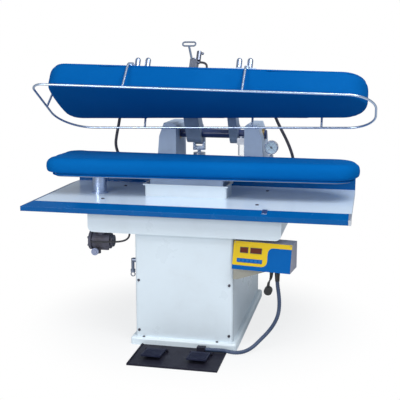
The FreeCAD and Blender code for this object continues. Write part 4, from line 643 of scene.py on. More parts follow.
HOSE, given, result = start_group(
    "hose_growth", "GeometryNodeTree",
    [("Geometry", "Geometry", None), ("Radius", "Float", 0.005), ("Ring Spacing", "Float", 0.003),
     ("Sides", "Int", 20), ("Wrap Pitch", "Float", 0.014), ("Wrap Share", "Float", 0.78),
     ("Wrap Height", "Float", 0.0), ("Flare", "Float", 0.0), ("Finish", "Material", None)],
    [("Geometry", "Geometry")])
rings = put(HOSE, "GeometryNodeResampleCurve", {"Curve": given["Geometry"], "Length": given["Ring Spacing"]},
            mode="LENGTH").outputs[0]
reach = put(HOSE, "GeometryNodeSplineParameter").outputs
spine, along = caught(HOSE, rings, "Along", reach["Length"])
spine, share = caught(HOSE, spine, "Share", reach["Factor"])
circle = put(HOSE, "GeometryNodeCurvePrimitiveCircle",
             {"Resolution": given["Sides"], "Radius": given["Radius"]}).outputs[0]
hoop, around = caught(HOSE, circle, "Around", put(HOSE, "GeometryNodeSplineParameter").outputs["Factor"])
tube = put(HOSE, "GeometryNodeCurveToMesh",
           {"Curve": spine, "Profile Curve": hoop, "Fill Caps": True}).outputs[0]
turns = reckon(HOSE, "DIVIDE", along, given["Wrap Pitch"])
phase = reckon(HOSE, "FRACT", reckon(HOSE, "ADD", turns, around))
rise = spread(HOSE, phase, 0.0, WRAP_SLOPE, smooth=True)
fall_start = reckon(HOSE, "SUBTRACT", given["Wrap Share"], WRAP_SLOPE)
fall = spread(HOSE, phase, fall_start, given["Wrap Share"], 1.0, 0.0, smooth=True)
band = reckon(HOSE, "MULTIPLY", reckon(HOSE, "MULTIPLY", rise, fall), given["Wrap Height"])
flared = reckon(HOSE, "MULTIPLY", reckon(HOSE, "SUBTRACT", 1.0, share), given["Flare"])
height = reckon(HOSE, "ADD", band, flared)
outward = put(HOSE, "GeometryNodeInputNormal").outputs[0]
lift = lengthened(HOSE, outward, height)
wrapped = put(HOSE, "GeometryNodeSetPosition", {"Geometry": tube, "Offset": lift}).outputs[0]
smooth = put(HOSE, "GeometryNodeSetShadeSmooth", {"Geometry": wrapped}).outputs[0]
end_growth(HOSE, smooth, given, result)

# %% [markdown]
# A tree only describes a shape. To use it, it is hung on an object as a modifier, its inputs are set by
# their socket identifiers, and the evaluated result is copied into a plain mesh. The helper object is
# then thrown away, so nothing in the finished scene depends on a live tree.

# %% Helpers for grown pieces


def grown(name, seed, tree, values):
    """Runs a tree on a seed object and returns the result as a plain mesh object, faces outwards."""
    modifier = seed.modifiers.new("growth", "NODES")
    modifier.node_group = tree
    for item in tree.interface.items_tree:
        if item.in_out == "INPUT" and item.name in values:
            modifier[item.identifier] = values[item.name]
    ready = bpy.context.evaluated_depsgraph_get()
    mesh = bpy.data.meshes.new_from_object(seed.evaluated_get(ready), depsgraph=ready)
    bpy.data.objects.remove(seed, do_unlink=True)
    face_outwards(mesh)
    return add_piece(name, mesh)


def give_finish(mesh, finish):
    mesh.materials.clear()
    mesh.materials.append(finish)


def add_piece(name, mesh, finish=None):
    """Puts a mesh into the scene as an object."""
    mesh.name = name
    if finish is not None:
        give_finish(mesh, finish)
    piece = bpy.data.objects.new(name, mesh)
    bpy.context.scene.collection.objects.link(piece)
    return piece


def face_outwards(mesh, merge=0.0):
    """Turns the faces outwards, and first merges points that lie closer than a distance."""
    work = bmesh.new()
    work.from_mesh(mesh)
    if merge > 0:
        bmesh.ops.remove_doubles(work, verts=work.verts, dist=merge)
    bmesh.ops.recalc_face_normals(work, faces=work.faces)
    work.to_mesh(mesh)
    work.free()


print("helpers for grown pieces ready")

# %% [markdown]
# Seven hoses and leads are grown from their lines, each with the diameter of the real one. Only the pedal
# cable has a wrap, and it gets closer rings, so that every turn of the wrap is a smooth ridge.

# %% Hoses and leads
HOSE_SIZES = {
    "left_hose": (16, STEAM_HOSE, "hose_rubber"), "right_hose": (16, STEAM_HOSE, "hose_rubber"),
    "valve_hose": (11, HOSE_RUBBER, "hose_rubber"), "plug_lead": (8, HOSE_RUBBER, "hose_rubber"),
    "pedal_hose": (16.4, HOSE_WRAP, "hose_wrap"), "air_tube": (7, AIR_TUBE, "air_tube_blue"),
    "trap_lead": (9, HOSE_RUBBER, "hose_rubber"),
}
WRAPS = {"pedal_hose": (0.0105, 0.0009)}
NO_WRAP = (0.02, 0.0)
RINGS_PER_TURN = 9
PLAIN_SPACING = 0.004
HOSE_SIDES = 24

hoses = {}
for name, (diameter, finish, slot) in HOSE_SIZES.items():
    line = route_line(name)
    path = points_along(line)
    pitch, height = WRAPS.get(name, NO_WRAP)
    spacing = pitch / RINGS_PER_TURN if height else PLAIN_SPACING
    piece = grown(name + "_piece", line, HOSE, {
        "Radius": diameter / 2000, "Ring Spacing": spacing, "Sides": HOSE_SIDES, "Wrap Pitch": pitch,
        "Wrap Height": height, "Finish": finish})
    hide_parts(name)
    hoses[name] = (piece, path)
    print(name, len(piece.data.vertices), "points,", round(run_length(path) * 1000), "mm long")

# %% [markdown]
# The two steam hoses reach from the fixed deck to the swinging head. Here their placement is only baked into
# their meshes. The mains lead, the pedal cable, the air tube and the trap lead go with the frame, and the
# short hose on the head goes with the head. Each lead is listed with its far end, stiffness, lay, width and
# carried parts, but the loop below does nothing with them.

# %% Bodies of the hoses and leads
for name in ("left_hose", "right_hose"):
    piece, path = hoses[name]
    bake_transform(piece)
for name in ("plug_lead", "pedal_hose", "air_tube", "trap_lead"):
    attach(hoses[name][0], "frame")
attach(hoses["valve_hose"][0], "head")
for name, far_end, stiffness, lay, width, carried in (
        ("plug_lead", "plug", "medium", "hanging", 0.008, [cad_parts["mains_plug"]]),
        ("pedal_hose", "object", "medium", "loose", 0.018, []),
        ("air_tube", "object", "medium", "loose", 0.007, []),
        ("trap_lead", "object", "medium", "hanging", 0.009, [])):
    piece, path = hoses[name]

# %% [markdown]
# Where a hose or a lead enters a fitting it needs help. A steam hose is held in a crimped steel sleeve, and
# the mains lead and the pedal cable leave their glands through tapered rubber boots, which keep them from
# being bent sharply. All of them follow the first stretch of their own line, so the tree for the hoses
# makes them too, with a wider radius, a flare and a tight wrap that reads as ribs.

# %% Crimps and boots
RIB_PITCH = 0.0055
RIB_HEIGHT = 0.0008
RIB_SPACING = 0.0007
SLEEVES = (
    ("left_deck_crimp", "left_hose", True, 26, 10.2, 0.0, BRIGHT_STEEL, "bright_steel", "frame"),
    ("right_deck_crimp", "right_hose", True, 26, 10.2, 0.0, BRIGHT_STEEL, "bright_steel", "frame"),
    ("left_head_crimp", "left_hose", False, 24, 10.2, 0.0, BRIGHT_STEEL, "bright_steel", "head"),
    ("right_head_crimp", "right_hose", False, 24, 10.2, 0.0, BRIGHT_STEEL, "bright_steel", "head"),
    ("mains_boot", "plug_lead", False, 32, 5.0, 3.4, GLAND_BLACK, "gland_black", "frame"),
    ("plug_boot", "plug_lead", True, 22, 4.6, 2.2, GLAND_BLACK, "gland_black", "frame"),
    ("pedal_boot", "pedal_hose", False, 38, 9.6, 2.2, GLAND_BLACK, "gland_black", "frame"),
)


def stretch_of(path, length):
    """The first part of a line, up to a length."""
    kept = [path[0]]
    for before, after in zip(path, path[1:]):
        left = length - run_length(kept)
        step = (after - before).length
        if step >= left:
            kept.append(before.lerp(after, left / step))
            break
        kept.append(after)
    return kept


for name, hose, from_end, length, radius, flare, finish, slot, body in SLEEVES:
    path = hoses[hose][1]
    line = plain_line(name, stretch_of(path[::-1] if from_end else path, length / 1000))
    sleeve = grown(name, line, HOSE, {
        "Radius": radius / 1000, "Ring Spacing": RIB_SPACING, "Sides": HOSE_SIDES, "Wrap Pitch": RIB_PITCH,
        "Wrap Height": RIB_HEIGHT, "Flare": flare / 1000, "Finish": finish})
    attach(sleeve, body)
    print(name, len(sleeve.data.polygons), "faces")

# %% [markdown]
# Screws, keys, louvres and dial marks have one thing in common: a small piece repeated in known places.
# One tree serves them all. It reads points that know which way they face and which way is along, and sets
# a copy of the small piece on each. Screws also get a chance turn with a fixed seed, as they come to rest
# at any angle when they are tight.

# %% Growth: copies laid out on points
LAY_OUT, given, result = start_group(
    "lay_out", "GeometryNodeTree",
    [("Geometry", "Geometry", None), ("Piece", "Object", None), ("Spin", "Float", 0.0), ("Seed", "Int", 7),
     ("Finish", "Material", None)], [("Geometry", "Geometry")])


def kept_on_points(name):
    return put(LAY_OUT, "GeometryNodeInputNamedAttribute", {"Name": name},
               data_type="FLOAT_VECTOR").outputs[0]


facing = kept_on_points("facing")
heading = kept_on_points("heading")
upright = put(LAY_OUT, "FunctionNodeAlignRotationToVector", {"Vector": facing}, axis="Z").outputs[0]
aimed = put(LAY_OUT, "FunctionNodeAlignRotationToVector", {"Rotation": upright, "Vector": heading},
            axis="X", pivot_axis="Z").outputs[0]
chance = put(LAY_OUT, "FunctionNodeRandomValue", {2: 0.0, 3: given["Spin"], "Seed": given["Seed"]},
             data_type="FLOAT").outputs[1]
turn = put(LAY_OUT, "FunctionNodeEulerToRotation",
           {0: put(LAY_OUT, "ShaderNodeCombineXYZ", {2: chance}).outputs[0]}).outputs[0]
spun = put(LAY_OUT, "FunctionNodeRotateRotation", {"Rotation": aimed, "Rotate By": turn},
           rotation_space="LOCAL").outputs[0]
model = put(LAY_OUT, "GeometryNodeObjectInfo", {"Object": given["Piece"]}).outputs["Geometry"]
copies = put(LAY_OUT, "GeometryNodeInstanceOnPoints",
             {"Points": given["Geometry"], "Instance": model, "Rotation": spun}).outputs[0]
end_growth(LAY_OUT, copies, given, result)

# %% [markdown]
# The points for this tree have to know their facing and heading. A mesh can carry such numbers as
# attributes, so the places are written into a small mesh without faces. The tree runs on it, and the result
# gets its slot and its body.

# %% Laying out copies


def marked_points(name, rows):
    """Points that carry a facing and a heading."""
    mesh = bpy.data.meshes.new(name)
    mesh.from_pydata([row[0] for row in rows], [], [])
    for title, column in (("facing", 1), ("heading", 2)):
        marks = mesh.attributes.new(title, "FLOAT_VECTOR", "POINT")
        for mark, row in zip(marks.data, rows):
            mark.vector = row[column]
    return add_piece(name, mesh)


def laid_out(name, rows, shape, finish, body, spin=0.0):
    """Copies of a small shape on every row of place, facing and heading."""
    model = add_piece(name + "_model", shape)
    piece = grown(name, marked_points(name + "_points", rows), LAY_OUT,
                  {"Piece": model, "Spin": spin, "Finish": finish})
    bpy.data.objects.remove(model, do_unlink=True)
    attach(piece, body)
    print(name, len(rows), "copies,", len(piece.data.polygons), "faces")


print("ready to lay out copies")

# %% [markdown]
# The small shapes themselves come from two habits of the workshop. A round piece is turned: a profile of
# radii and heights is swept round an axis. A flat piece is cut from plate: an outline is given a thickness
# and its edges are broken with a small bevel.

# %% Turned and cut shapes


def turned(profile, sides=20):
    """A round shape on the Z axis from radii and heights in millimetres."""
    work = bmesh.new()
    rings = []
    for radius, height in profile:
        count = sides if radius > 0 else 1
        angles = [2 * math.pi * step / count for step in range(count)]
        rings.append([work.verts.new(metres((radius * math.cos(angle), radius * math.sin(angle), height)))
                      for angle in angles])
    for lower, upper in zip(rings, rings[1:]):
        for step in range(sides):
            corners = [lower[step % len(lower)], lower[(step + 1) % len(lower)],
                       upper[(step + 1) % len(upper)], upper[step % len(upper)]]
            work.faces.new(list(dict.fromkeys(corners)))
    return finished_mesh(work, 0.0)


def finished_mesh(work, bevel):
    """Breaks the edges, turns the faces outwards and makes a mesh."""
    if bevel > 0:
        bmesh.ops.bevel(work, geom=work.edges[:], offset=bevel / 1000, segments=2, affect="EDGES",
                        profile=0.6)
    bmesh.ops.recalc_face_normals(work, faces=work.faces)
    mesh = bpy.data.meshes.new("shape")
    work.to_mesh(mesh)
    work.free()
    return mesh


def cut_from_plate(outline, thickness, bevel):
    """A plate with this outline, given in metres, and this thickness, a vector in metres."""
    work = bmesh.new()
    face = work.faces.new([work.verts.new(point) for point in outline])
    grown_part = bmesh.ops.extrude_face_region(work, geom=[face])
    moved = [item for item in grown_part["geom"] if isinstance(item, bmesh.types.BMVert)]
    bmesh.ops.translate(work, verts=moved, vec=thickness)
    return finished_mesh(work, bevel)


def block(width, depth, height, bevel):
    """A small block on the XY plane, in millimetres."""
    corners = [metres((width / 2 * x, depth / 2 * y, 0)) for x, y in ((-1, -1), (1, -1), (1, 1), (-1, 1))]
    return cut_from_plate(corners, metres((0, 0, height)), bevel)


def pan_head(radius, height):
    """A screw head with a socket in it."""
    return turned([(0, 0), (radius, 0), (radius, height * 0.35), (radius * 0.86, height * 0.8),
                   (radius * 0.55, height), (radius * 0.42, height), (radius * 0.38, height * 0.5),
                   (0, height * 0.5)], 18)


print("shapes ready")

# %% [markdown]
# The head rests tilted back, which makes it awkward to measure. A point on it can be swung level about the
# shaft, worked on there, and swung back. The two turns below do that for any point.

# %% Swinging the head level
shaft_low, shaft_high = [Vector(corner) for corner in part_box("main_shaft")]
SHAFT_LINE = (shaft_low + shaft_high) / 2
OPENING = Matrix.Rotation(-HEAD_TILT, 3, "X")
CLOSING = Matrix.Rotation(HEAD_TILT, 3, "X")
UP = Vector((0, 0, 1))
RIGHT = Vector((1, 0, 0))


def opened(point):
    return SHAFT_LINE + OPENING @ (Vector(point) - SHAFT_LINE)


def closed(point):
    return SHAFT_LINE + CLOSING @ (Vector(point) - SHAFT_LINE)


print("shaft line through", [round(value, 4) for value in SHAFT_LINE])

# %% [markdown]
# A row of screws and the hems of the covers run round a rim. Its outline is read from the solid: a convex
# hull wraps the points of the rim, each corner is moved in or out by a distance, and even steps are walked
# along what comes out.

# %% Places round a rim


def rim_of(points, out, spacing):
    """Evenly spaced places round the hull of some level points, moved outwards by a distance."""
    flat = [(point.x, point.y) for point in points]
    hull = [Vector(flat[index]) for index in convex_hull_2d(flat)]
    middle = sum(hull, Vector((0, 0))) / len(hull)
    count = len(hull)
    moved = []
    for index, corner in enumerate(hull):
        along = hull[(index + 1) % count] - hull[index - 1]
        side = Vector((along.y, -along.x)).normalized()
        if side.dot(corner - middle) < 0:
            side = -side
        moved.append(corner + side * out)
    lengths = [(moved[(index + 1) % count] - moved[index]).length for index in range(count)]
    total = sum(lengths)
    number = max(round(total / spacing), 8)
    places = []
    index = 0
    walked = 0.0
    for step in range(number):
        target = total * step / number
        while walked + lengths[index] < target:
            walked += lengths[index]
            index += 1
        share = (target - walked) / lengths[index]
        places.append(moved[index].lerp(moved[(index + 1) % count], share))
    return places


print("rim helper ready")

# %% [markdown]
# Screws hold the table, the plinth, the trap's flange and the head's lid. The lid is the hard one, because
# it is tapered and tilted. The points of its upper face are swung level, the row is set out inside their
# rim and swung back, so it follows the lid wherever the lid goes.

# %% Screws
LID_FACE_DEPTH = 0.001
LID_SCREW_IN = 0.014
LID_SCREW_GAP = 0.125
PLINTH_SCREW_DEPTH = -0.4395
TRAP_BOLTS = 6
TRAP_BOLT_RADIUS = 0.037

lid_points = [closed(vertex.co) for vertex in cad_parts["head_lid"].data.vertices]
LID_LEVEL = max(point.z for point in lid_points)
lid_rim = [point for point in lid_points if point.z > LID_LEVEL - LID_FACE_DEPTH]
facing_up = OPENING @ UP
lid_rows = [(opened((spot.x, spot.y, LID_LEVEL)), facing_up, RIGHT)
            for spot in rim_of(lid_rim, -LID_SCREW_IN, LID_SCREW_GAP)]
laid_out("lid_screws", lid_rows, pan_head(6, 5), BRIGHT_STEEL, "head", math.pi)

TABLE_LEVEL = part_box("table_top")[1][2]
table_rows = [((x / 1000, y / 1000, TABLE_LEVEL), UP, RIGHT) for x in (-421, 336) for y in (-348.5, 25.5)]
laid_out("table_screws", table_rows, pan_head(9, 4.5), DARK_SCREW, "frame", math.pi)

PLINTH_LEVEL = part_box("base_plinth")[1][2]
plinth_rows = [((x / 1000, PLINTH_SCREW_DEPTH, PLINTH_LEVEL), UP, RIGHT) for x in (-196, 165)]
laid_out("plinth_screws", plinth_rows, pan_head(6.5, 4), DARK_SCREW, "frame", math.pi)

TRAP_AXIS = Vector((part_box("trap_body")[0][0], -0.3605, 0.489))
flange_rows = []
for step in range(TRAP_BOLTS):
    angle = 2 * math.pi * (step + 0.5) / TRAP_BOLTS
    spot = TRAP_AXIS + Vector((0, math.cos(angle), math.sin(angle))) * TRAP_BOLT_RADIUS
    flange_rows.append((spot, (-1, 0, 0), (0, 1, 0)))
laid_out("trap_bolts", flange_rows, turned([(0, 0), (6.5, 0), (6.5, 5), (5.6, 6), (0, 6)], 6), TRAP_IRON,
         "frame")

# %% [markdown]
# The control box is turned a little towards the middle of the press, and its face leans back. A print on
# such a face is easy to set out in the face's own measure, across and up. One function turns that measure
# into a place on the press, and another cuts a thin foil along an outline.

# %% Measure of the control face
BOX_CORNER = metres((238, -462.5, 412))
BOX_TURN = Matrix.Rotation(math.radians(-8), 3, "Z")
BOX_LEAN = 34 / 126


def on_face(across, up, proud):
    """A place on the leaning face, from millimetres across, up and proud of the box."""
    return BOX_CORNER + BOX_TURN @ metres((across, BOX_LEAN * up - proud, up))


FACE_ALONG = BOX_TURN @ Vector((1, 0, 0))
FACE_OUT = (BOX_TURN @ Vector((0, -1, BOX_LEAN))).normalized()


def bend(middle, radius, start, stop, steps=8):
    """Points on an arc, in degrees."""
    angles = [math.radians(start + (stop - start) * step / steps) for step in range(steps + 1)]
    return [(middle[0] + radius * math.cos(angle), middle[1] + radius * math.sin(angle)) for angle in angles]


def foil(name, outline, proud, thickness, finish):
    corners = [on_face(across, up, proud) for across, up in outline]
    piece = add_piece(name, cut_from_plate(corners, FACE_OUT * thickness / 1000, 0), finish)
    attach(piece, "frame")


def frame_strip(left, right, low, high):
    return [(left, low), (right, low), (right, high), (left, high)]


print("control face looks along", [round(value, 3) for value in FACE_OUT])

# %% [markdown]
# The face is a printed foil: yellow, with a blue field that sweeps in from the right and runs along the
# bottom as a band. Its edge is two quarter circles joined by straight runs, and a plate of half a millimetre
# stands for the print. The two displays get dark frames, and six keys lie on the blue strip.

# %% Print, frames and keys
FACE_WIDE = 276
FACE_PROUD = 2.0
STRIP_PROUD = 3.5
FIELD_BEND = 26
FRAME_WIDE = 2
FRAME_THICK = 2.2
DISPLAY_LOW = 77
DISPLAY_HIGH = 99
KEYS = 6
KEY_STEP = 20

upper_bend = bend((191, 80), FIELD_BEND, 90, 180)
lower_bend = bend((139, 45), FIELD_BEND, 0, -90)
field = [(FACE_WIDE, 106)] + upper_bend + lower_bend + [(0, 19), (0, 0), (FACE_WIDE, 0)]
foil("blue_field", field, FACE_PROUD, 0.5, PANEL_BLUE)
foil("key_strip", frame_strip(21, 142, 33, 51), STRIP_PROUD, 0.4, PANEL_BLUE)
for label, left, right in (("first", 35, 70), ("second", 84, 135)):
    outer_left = left - FRAME_WIDE
    outer_right = right + FRAME_WIDE
    for side, strip in (("low", (outer_left, outer_right, DISPLAY_LOW - FRAME_WIDE, DISPLAY_LOW)),
                        ("high", (outer_left, outer_right, DISPLAY_HIGH, DISPLAY_HIGH + FRAME_WIDE)),
                        ("left", (outer_left, left, DISPLAY_LOW, DISPLAY_HIGH)),
                        ("right", (right, outer_right, DISPLAY_LOW, DISPLAY_HIGH))):
        foil("%s_frame_%s" % (label, side), frame_strip(*strip), FACE_PROUD, FRAME_THICK, GLAND_BLACK)

key_rows = [(on_face(31.5 + KEY_STEP * step, 42, STRIP_PROUD + 0.4), FACE_OUT, FACE_ALONG)
            for step in range(KEYS)]
laid_out("panel_keys", key_rows, block(14, 11, 0.9, 0.35), KEY_BLUE, "frame")
corner_rows = [(on_face(across, 120, FACE_PROUD), FACE_OUT, FACE_ALONG) for across in (6, 270)]
laid_out("face_screws", corner_rows, pan_head(2.6, 1.6), VALVE_METAL, "frame", math.pi)

# %% [markdown]
# A pressure gauge is read by its marks: a long mark for every two bar and short ones between, on an arc of
# 270 degrees. The marks are copies laid out on that arc, each with its heading away from the middle.

# %% Marks on the gauge
DIAL_MIDDLE = Vector((0.331, 0.1904, 0.897))
DIAL_START = -135
LONG_STEP = 54
SHORT_STEP = 10.8
LONG_MARKS = 6
TOWARDS_VIEWER = Vector((0, -1, 0))


def dial_spot(degrees, radius):
    """A place on the dial and the way out from its middle, by degrees from straight up."""
    angle = math.radians(degrees)
    out = Vector((math.sin(angle), 0, math.cos(angle)))
    return DIAL_MIDDLE + out * radius / 1000, out


def mark_rows(degrees, radius):
    return [(spot, TOWARDS_VIEWER, out) for spot, out in (dial_spot(angle, radius) for angle in degrees)]


long = [DIAL_START + LONG_STEP * step for step in range(LONG_MARKS)]
laid_out("gauge_long_marks", mark_rows(long, 25.5), block(5.5, 0.9, 0.12, 0), NEEDLE_BLACK,
         "frame")
short = [DIAL_START + SHORT_STEP * step for step in range(26) if step % 5]
laid_out("gauge_short_marks", mark_rows(short, 26.5), block(3, 0.5, 0.12, 0), NEEDLE_BLACK,
         "frame")

# %% [markdown]
# Plain numbers stand inside the long marks. They are text objects that are made into meshes, because the
# finished model should not depend on a font.

# %% Numbers on the gauge
NUMBER_RADIUS = 18.0
NUMBER_SIZE = 0.0072
NUMBER_THICK = 0.00006


def number_mesh(number, degrees):
    text = bpy.data.curves.new("number", "FONT")
    text.body = str(number)
    text.size = NUMBER_SIZE
    text.align_x = "CENTER"
    text.align_y = "CENTER"
    text.extrude = NUMBER_THICK
    holder = bpy.data.objects.new("number", text)
    bpy.context.scene.collection.objects.link(holder)
    bpy.context.view_layer.update()
    mesh = bpy.data.meshes.new_from_object(holder)
    bpy.data.objects.remove(holder, do_unlink=True)
    upright_turn = Matrix.Rotation(math.radians(90), 4, "X")
    mesh.transform(Matrix.Translation(dial_spot(degrees, NUMBER_RADIUS)[0]) @ upright_turn)
    return mesh


for step, degrees in enumerate(long):
    number = add_piece("gauge_number_%d" % (2 * step), number_mesh(2 * step, degrees), NEEDLE_BLACK)
    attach(number, "frame")
print("gauge numbers:", len(long))

# %% [markdown]
# The blue moulding on the table's edge ends on the right in a grey cap, and a small bright clip sits on it
# to hold a work ticket. Both follow the moulding's section: a short level land, a slope, an upright
# face. The section is drawn once, a little proud of the moulding, and given a width.

# %% Fittings on the table's edge
trim_low, trim_high = [Vector(corner) * 1000 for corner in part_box("table_trim")]
board_low, board_high = [Vector(corner) * 1000 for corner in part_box("table_top")]
LAND = 3
SLOPE_DROP = 19
CAP_PROUD = 0.8
CAP_IN = 12
CAP_WIDE = 13
CLIP_AT = 376
CLIP_WIDE = 24
CLIP_BACK = 10
CLIP_LIFT = 2.2
CLIP_NOSE_LIFT = 2.4
CLIP_THICK = 2
CLIP_END = 0.62


def edge_section(proud):
    """The moulding's outline in depth and height, from the table round to the underside."""
    front = trim_low.y - proud
    top = trim_high.z + proud
    return [(board_low.y, top), (board_low.y - LAND, top), (front, trim_high.z - SLOPE_DROP + proud),
            (front, trim_low.z - proud), (board_low.y, trim_low.z - proud)]


cap_outline = [metres((board_high.x - CAP_IN, y, z)) for y, z in edge_section(CAP_PROUD)]
cap = add_piece("trim_cap", cut_from_plate(cap_outline, metres((CAP_WIDE, 0, 0)), 0.6), CAST_ALUMINIUM)
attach(cap, "frame")

slope_run = board_low.y - LAND - trim_low.y
outer = [(board_low.y + CLIP_BACK, trim_high.z + CLIP_LIFT), (board_low.y - LAND, trim_high.z + CLIP_LIFT),
         (board_low.y - LAND - slope_run * CLIP_END, trim_high.z + CLIP_NOSE_LIFT - SLOPE_DROP * CLIP_END)]
inner = [(y, z - CLIP_THICK) for y, z in reversed(outer)]
clip_outline = [metres((CLIP_AT, y, z)) for y, z in outer + inner]
clip = add_piece("ticket_clip", cut_from_plate(clip_outline, metres((CLIP_WIDE, 0, 0)), 0.5), CHROME)
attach(clip, "frame")
print("edge cap and clip made")

# %% [markdown]
# The front panel lifts out for service, so it sits on a rubber seal. A seal is a cord round the panel's rim,
# half sunk between panel and shell, and what shows of it is a thin grey line.

# %% Seal of the front panel
SEAL_RADIUS = 0.0014

panel_low, panel_high = [Vector(corner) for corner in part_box("front_panel")]
shell_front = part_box("cabinet_shell")[0][1]
seal_corners = [(panel_low.x, panel_low.z), (panel_high.x, panel_low.z), (panel_high.x, panel_high.z),
                (panel_low.x, panel_high.z)]
seal_line = plain_line("panel_seal_line", [(x, shell_front, z) for x, z in seal_corners], closed=True)
seal = grown("panel_seal", seal_line, HOSE,
             {"Radius": SEAL_RADIUS, "Ring Spacing": 0.01, "Sides": 8, "Finish": SEAL_GREY})
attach(seal, "frame")
print("seal", len(seal.data.polygons), "faces")

# %% [markdown]
# Steam and the fan's warm air leave the cabinet at the back, through rows of pressed louvres. One louvre is
# a shallow hood that swells from nothing at its ends. Two columns of copies cover the middle of the panel.

# %% Louvres on the rear panel
LOUVRE_SUNK = 0.2
COLUMN_OUT = 0.075
ROW_STEP = 0.02


def louvre(width, height, proud, steps=12, arcs=6):
    """A pressed hood on the XY plane, in millimetres."""
    work = bmesh.new()
    rows = []
    for step in range(steps + 1):
        share = 2 * step / steps - 1
        swell = math.sqrt(max(1 - share ** 4, 0))
        row = []
        for arc in range(arcs + 1):
            angle = math.pi * arc / arcs
            row.append(work.verts.new(metres((share * width / 2, -math.cos(angle) * height / 2,
                                              math.sin(angle) * proud * swell - LOUVRE_SUNK))))
        rows.append(row)
    for before, after in zip(rows, rows[1:]):
        for arc in range(arcs):
            work.faces.new([before[arc], after[arc], after[arc + 1], before[arc + 1]])
        work.faces.new([before[0], before[arcs], after[arcs], after[0]])
    bmesh.ops.remove_doubles(work, verts=work.verts, dist=0.00001)
    return finished_mesh(work, 0.0)


rear_low, rear_high = [Vector(corner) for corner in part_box("rear_panel")]
rear_middle = (rear_low + rear_high) / 2
louvre_rows = [((rear_middle.x + side * COLUMN_OUT, rear_high.y, rear_middle.z + ROW_STEP * row),
                (0, 1, 0), RIGHT) for side in (-1, 1) for row in range(-5, 6)]
laid_out("rear_louvres", louvre_rows, louvre(110, 11, 6), WHITE_ENAMEL, "frame")

# %% [markdown]
# Under the blue cloth lie felt and foam, so the buck and the head are padded pieces. A pad could be drawn
# by hand, but it is more convincing when it is inflated, and for that it needs an even skin. A copy of the
# solid is merged, remeshed into even little squares and smoothed. After the inflating it is made finer.

# %% Helpers for an even skin
MERGE_DISTANCE = 0.00002


def settle(piece):
    """Replaces a piece's mesh by what its modifiers make of it."""
    ready = bpy.context.evaluated_depsgraph_get()
    mesh = bpy.data.meshes.new_from_object(piece.evaluated_get(ready), depsgraph=ready)
    piece.modifiers.clear()
    old = piece.data
    piece.data = mesh
    bpy.data.meshes.remove(old)


def voxel_copy(name, node, voxel, finish):
    """A copy of a solid, remeshed into even squares."""
    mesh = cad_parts[node].data.copy()
    face_outwards(mesh, MERGE_DISTANCE)
    piece = add_piece(name, mesh, finish)
    remesh = piece.modifiers.new("even squares", "REMESH")
    remesh.mode = "VOXEL"
    remesh.voxel_size = voxel
    remesh.use_smooth_shade = True
    settle(piece)
    return piece


def even_out(piece, rounds):
    """Takes the steps out of a remeshed skin."""
    soften = piece.modifiers.new("soften", "SMOOTH")
    soften.factor = 0.5
    soften.iterations = rounds
    settle(piece)


def finer(piece):
    divide = piece.modifiers.new("finer", "SUBSURF")
    divide.levels = 1
    divide.render_levels = 1
    settle(piece)
    for polygon in piece.data.polygons:
        polygon.use_smooth = True


print("helpers for an even skin ready")

# %% [markdown]
# The skin is drawn in by a few millimetres, and cloth simulation with a little pressure blows it up again.
# The points that lie on the metal are pinned, and a limit on the movement keeps the pad in its place.

# %% Helpers for inflating
FREE_RANGE = 0.03
CLOTH_SETTINGS = {"quality": 4, "mass": 0.3, "tension_stiffness": 18, "compression_stiffness": 18,
                  "shear_stiffness": 6, "bending_stiffness": 0.6, "use_pressure": True}


def metal_under(names):
    """A search tree over the faces of the solids that carry a pad."""
    work = bmesh.new()
    for name in names:
        work.from_mesh(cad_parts[name].data)
    tree = BVHTree.FromBMesh(work)
    work.free()
    return tree


def draw_in(piece, metal, depth, margin):
    """Pulls the free skin in along its normals and returns how freely each point may move."""
    mesh = piece.data
    freedom = []
    for vertex in mesh.vertices:
        distance = metal.find_nearest(vertex.co)[3]
        freedom.append(min(max((distance - margin) / FREE_RANGE, 0.0), 1.0))
    for vertex, free in zip(mesh.vertices, freedom):
        vertex.co -= vertex.normal * depth * free
    return freedom


def inflate(piece, freedom, pressure, limit, frames):
    """Blows the pad up with cloth simulation, pinned where it lies on metal, and keeps each move short."""
    before = [vertex.co.copy() for vertex in piece.data.vertices]
    pins = piece.vertex_groups.new(name="on metal")
    for index, free in enumerate(freedom):
        pins.add([index], 1.0 - free, "REPLACE")
    cloth = piece.modifiers.new("cloth", "CLOTH")
    for title, value in CLOTH_SETTINGS.items():
        setattr(cloth.settings, title, value)
    cloth.settings.uniform_pressure_force = pressure
    cloth.settings.vertex_group_mass = pins.name
    cloth.settings.effector_weights.gravity = 0.0
    cloth.collision_settings.use_collision = False
    cloth.point_cache.frame_start = 1
    cloth.point_cache.frame_end = frames
    for number in range(1, frames + 1):
        bpy.context.scene.frame_set(number)
    settle(piece)
    bpy.context.scene.frame_set(1)
    for vertex, old in zip(piece.data.vertices, before):
        move = vertex.co - old
        if move.length > limit:
            vertex.co = old + move.normalized() * limit


print("helpers for inflating ready")

# %% [markdown]
# The buck pad lies on its steel plate, and the head's pad hugs the cast platen and its lid. Both swell to
# just inside their solids, so that the closed press still shuts face to face.

# %% Padded buck and head
PAD_SWELL = 0.0045
PAD_MARGIN = 0.006
PAD_PRESSURE = 4.0
PAD_FRAMES = 20


def pad(name, node, voxel, finish, carriers, body):
    piece = voxel_copy(name, node, voxel, finish)
    metal = metal_under(carriers)
    even_out(piece, 2)
    freedom = draw_in(piece, metal, PAD_SWELL, PAD_MARGIN)
    inflate(piece, freedom, PAD_PRESSURE, PAD_SWELL, PAD_FRAMES)
    even_out(piece, 1)
    finer(piece)
    give_finish(piece.data, finish)
    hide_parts(node)
    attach(piece, body)
    print(name, len(piece.data.polygons), "faces")


pad("buck_cover_piece", "buck_pad", 0.0085, BUCK_CLOTH, ["buck_plate"], "frame")
pad("head_cover_piece", "head_cover", 0.0100, HEAD_CLOTH, ["head_platen", "head_lid"], "head")

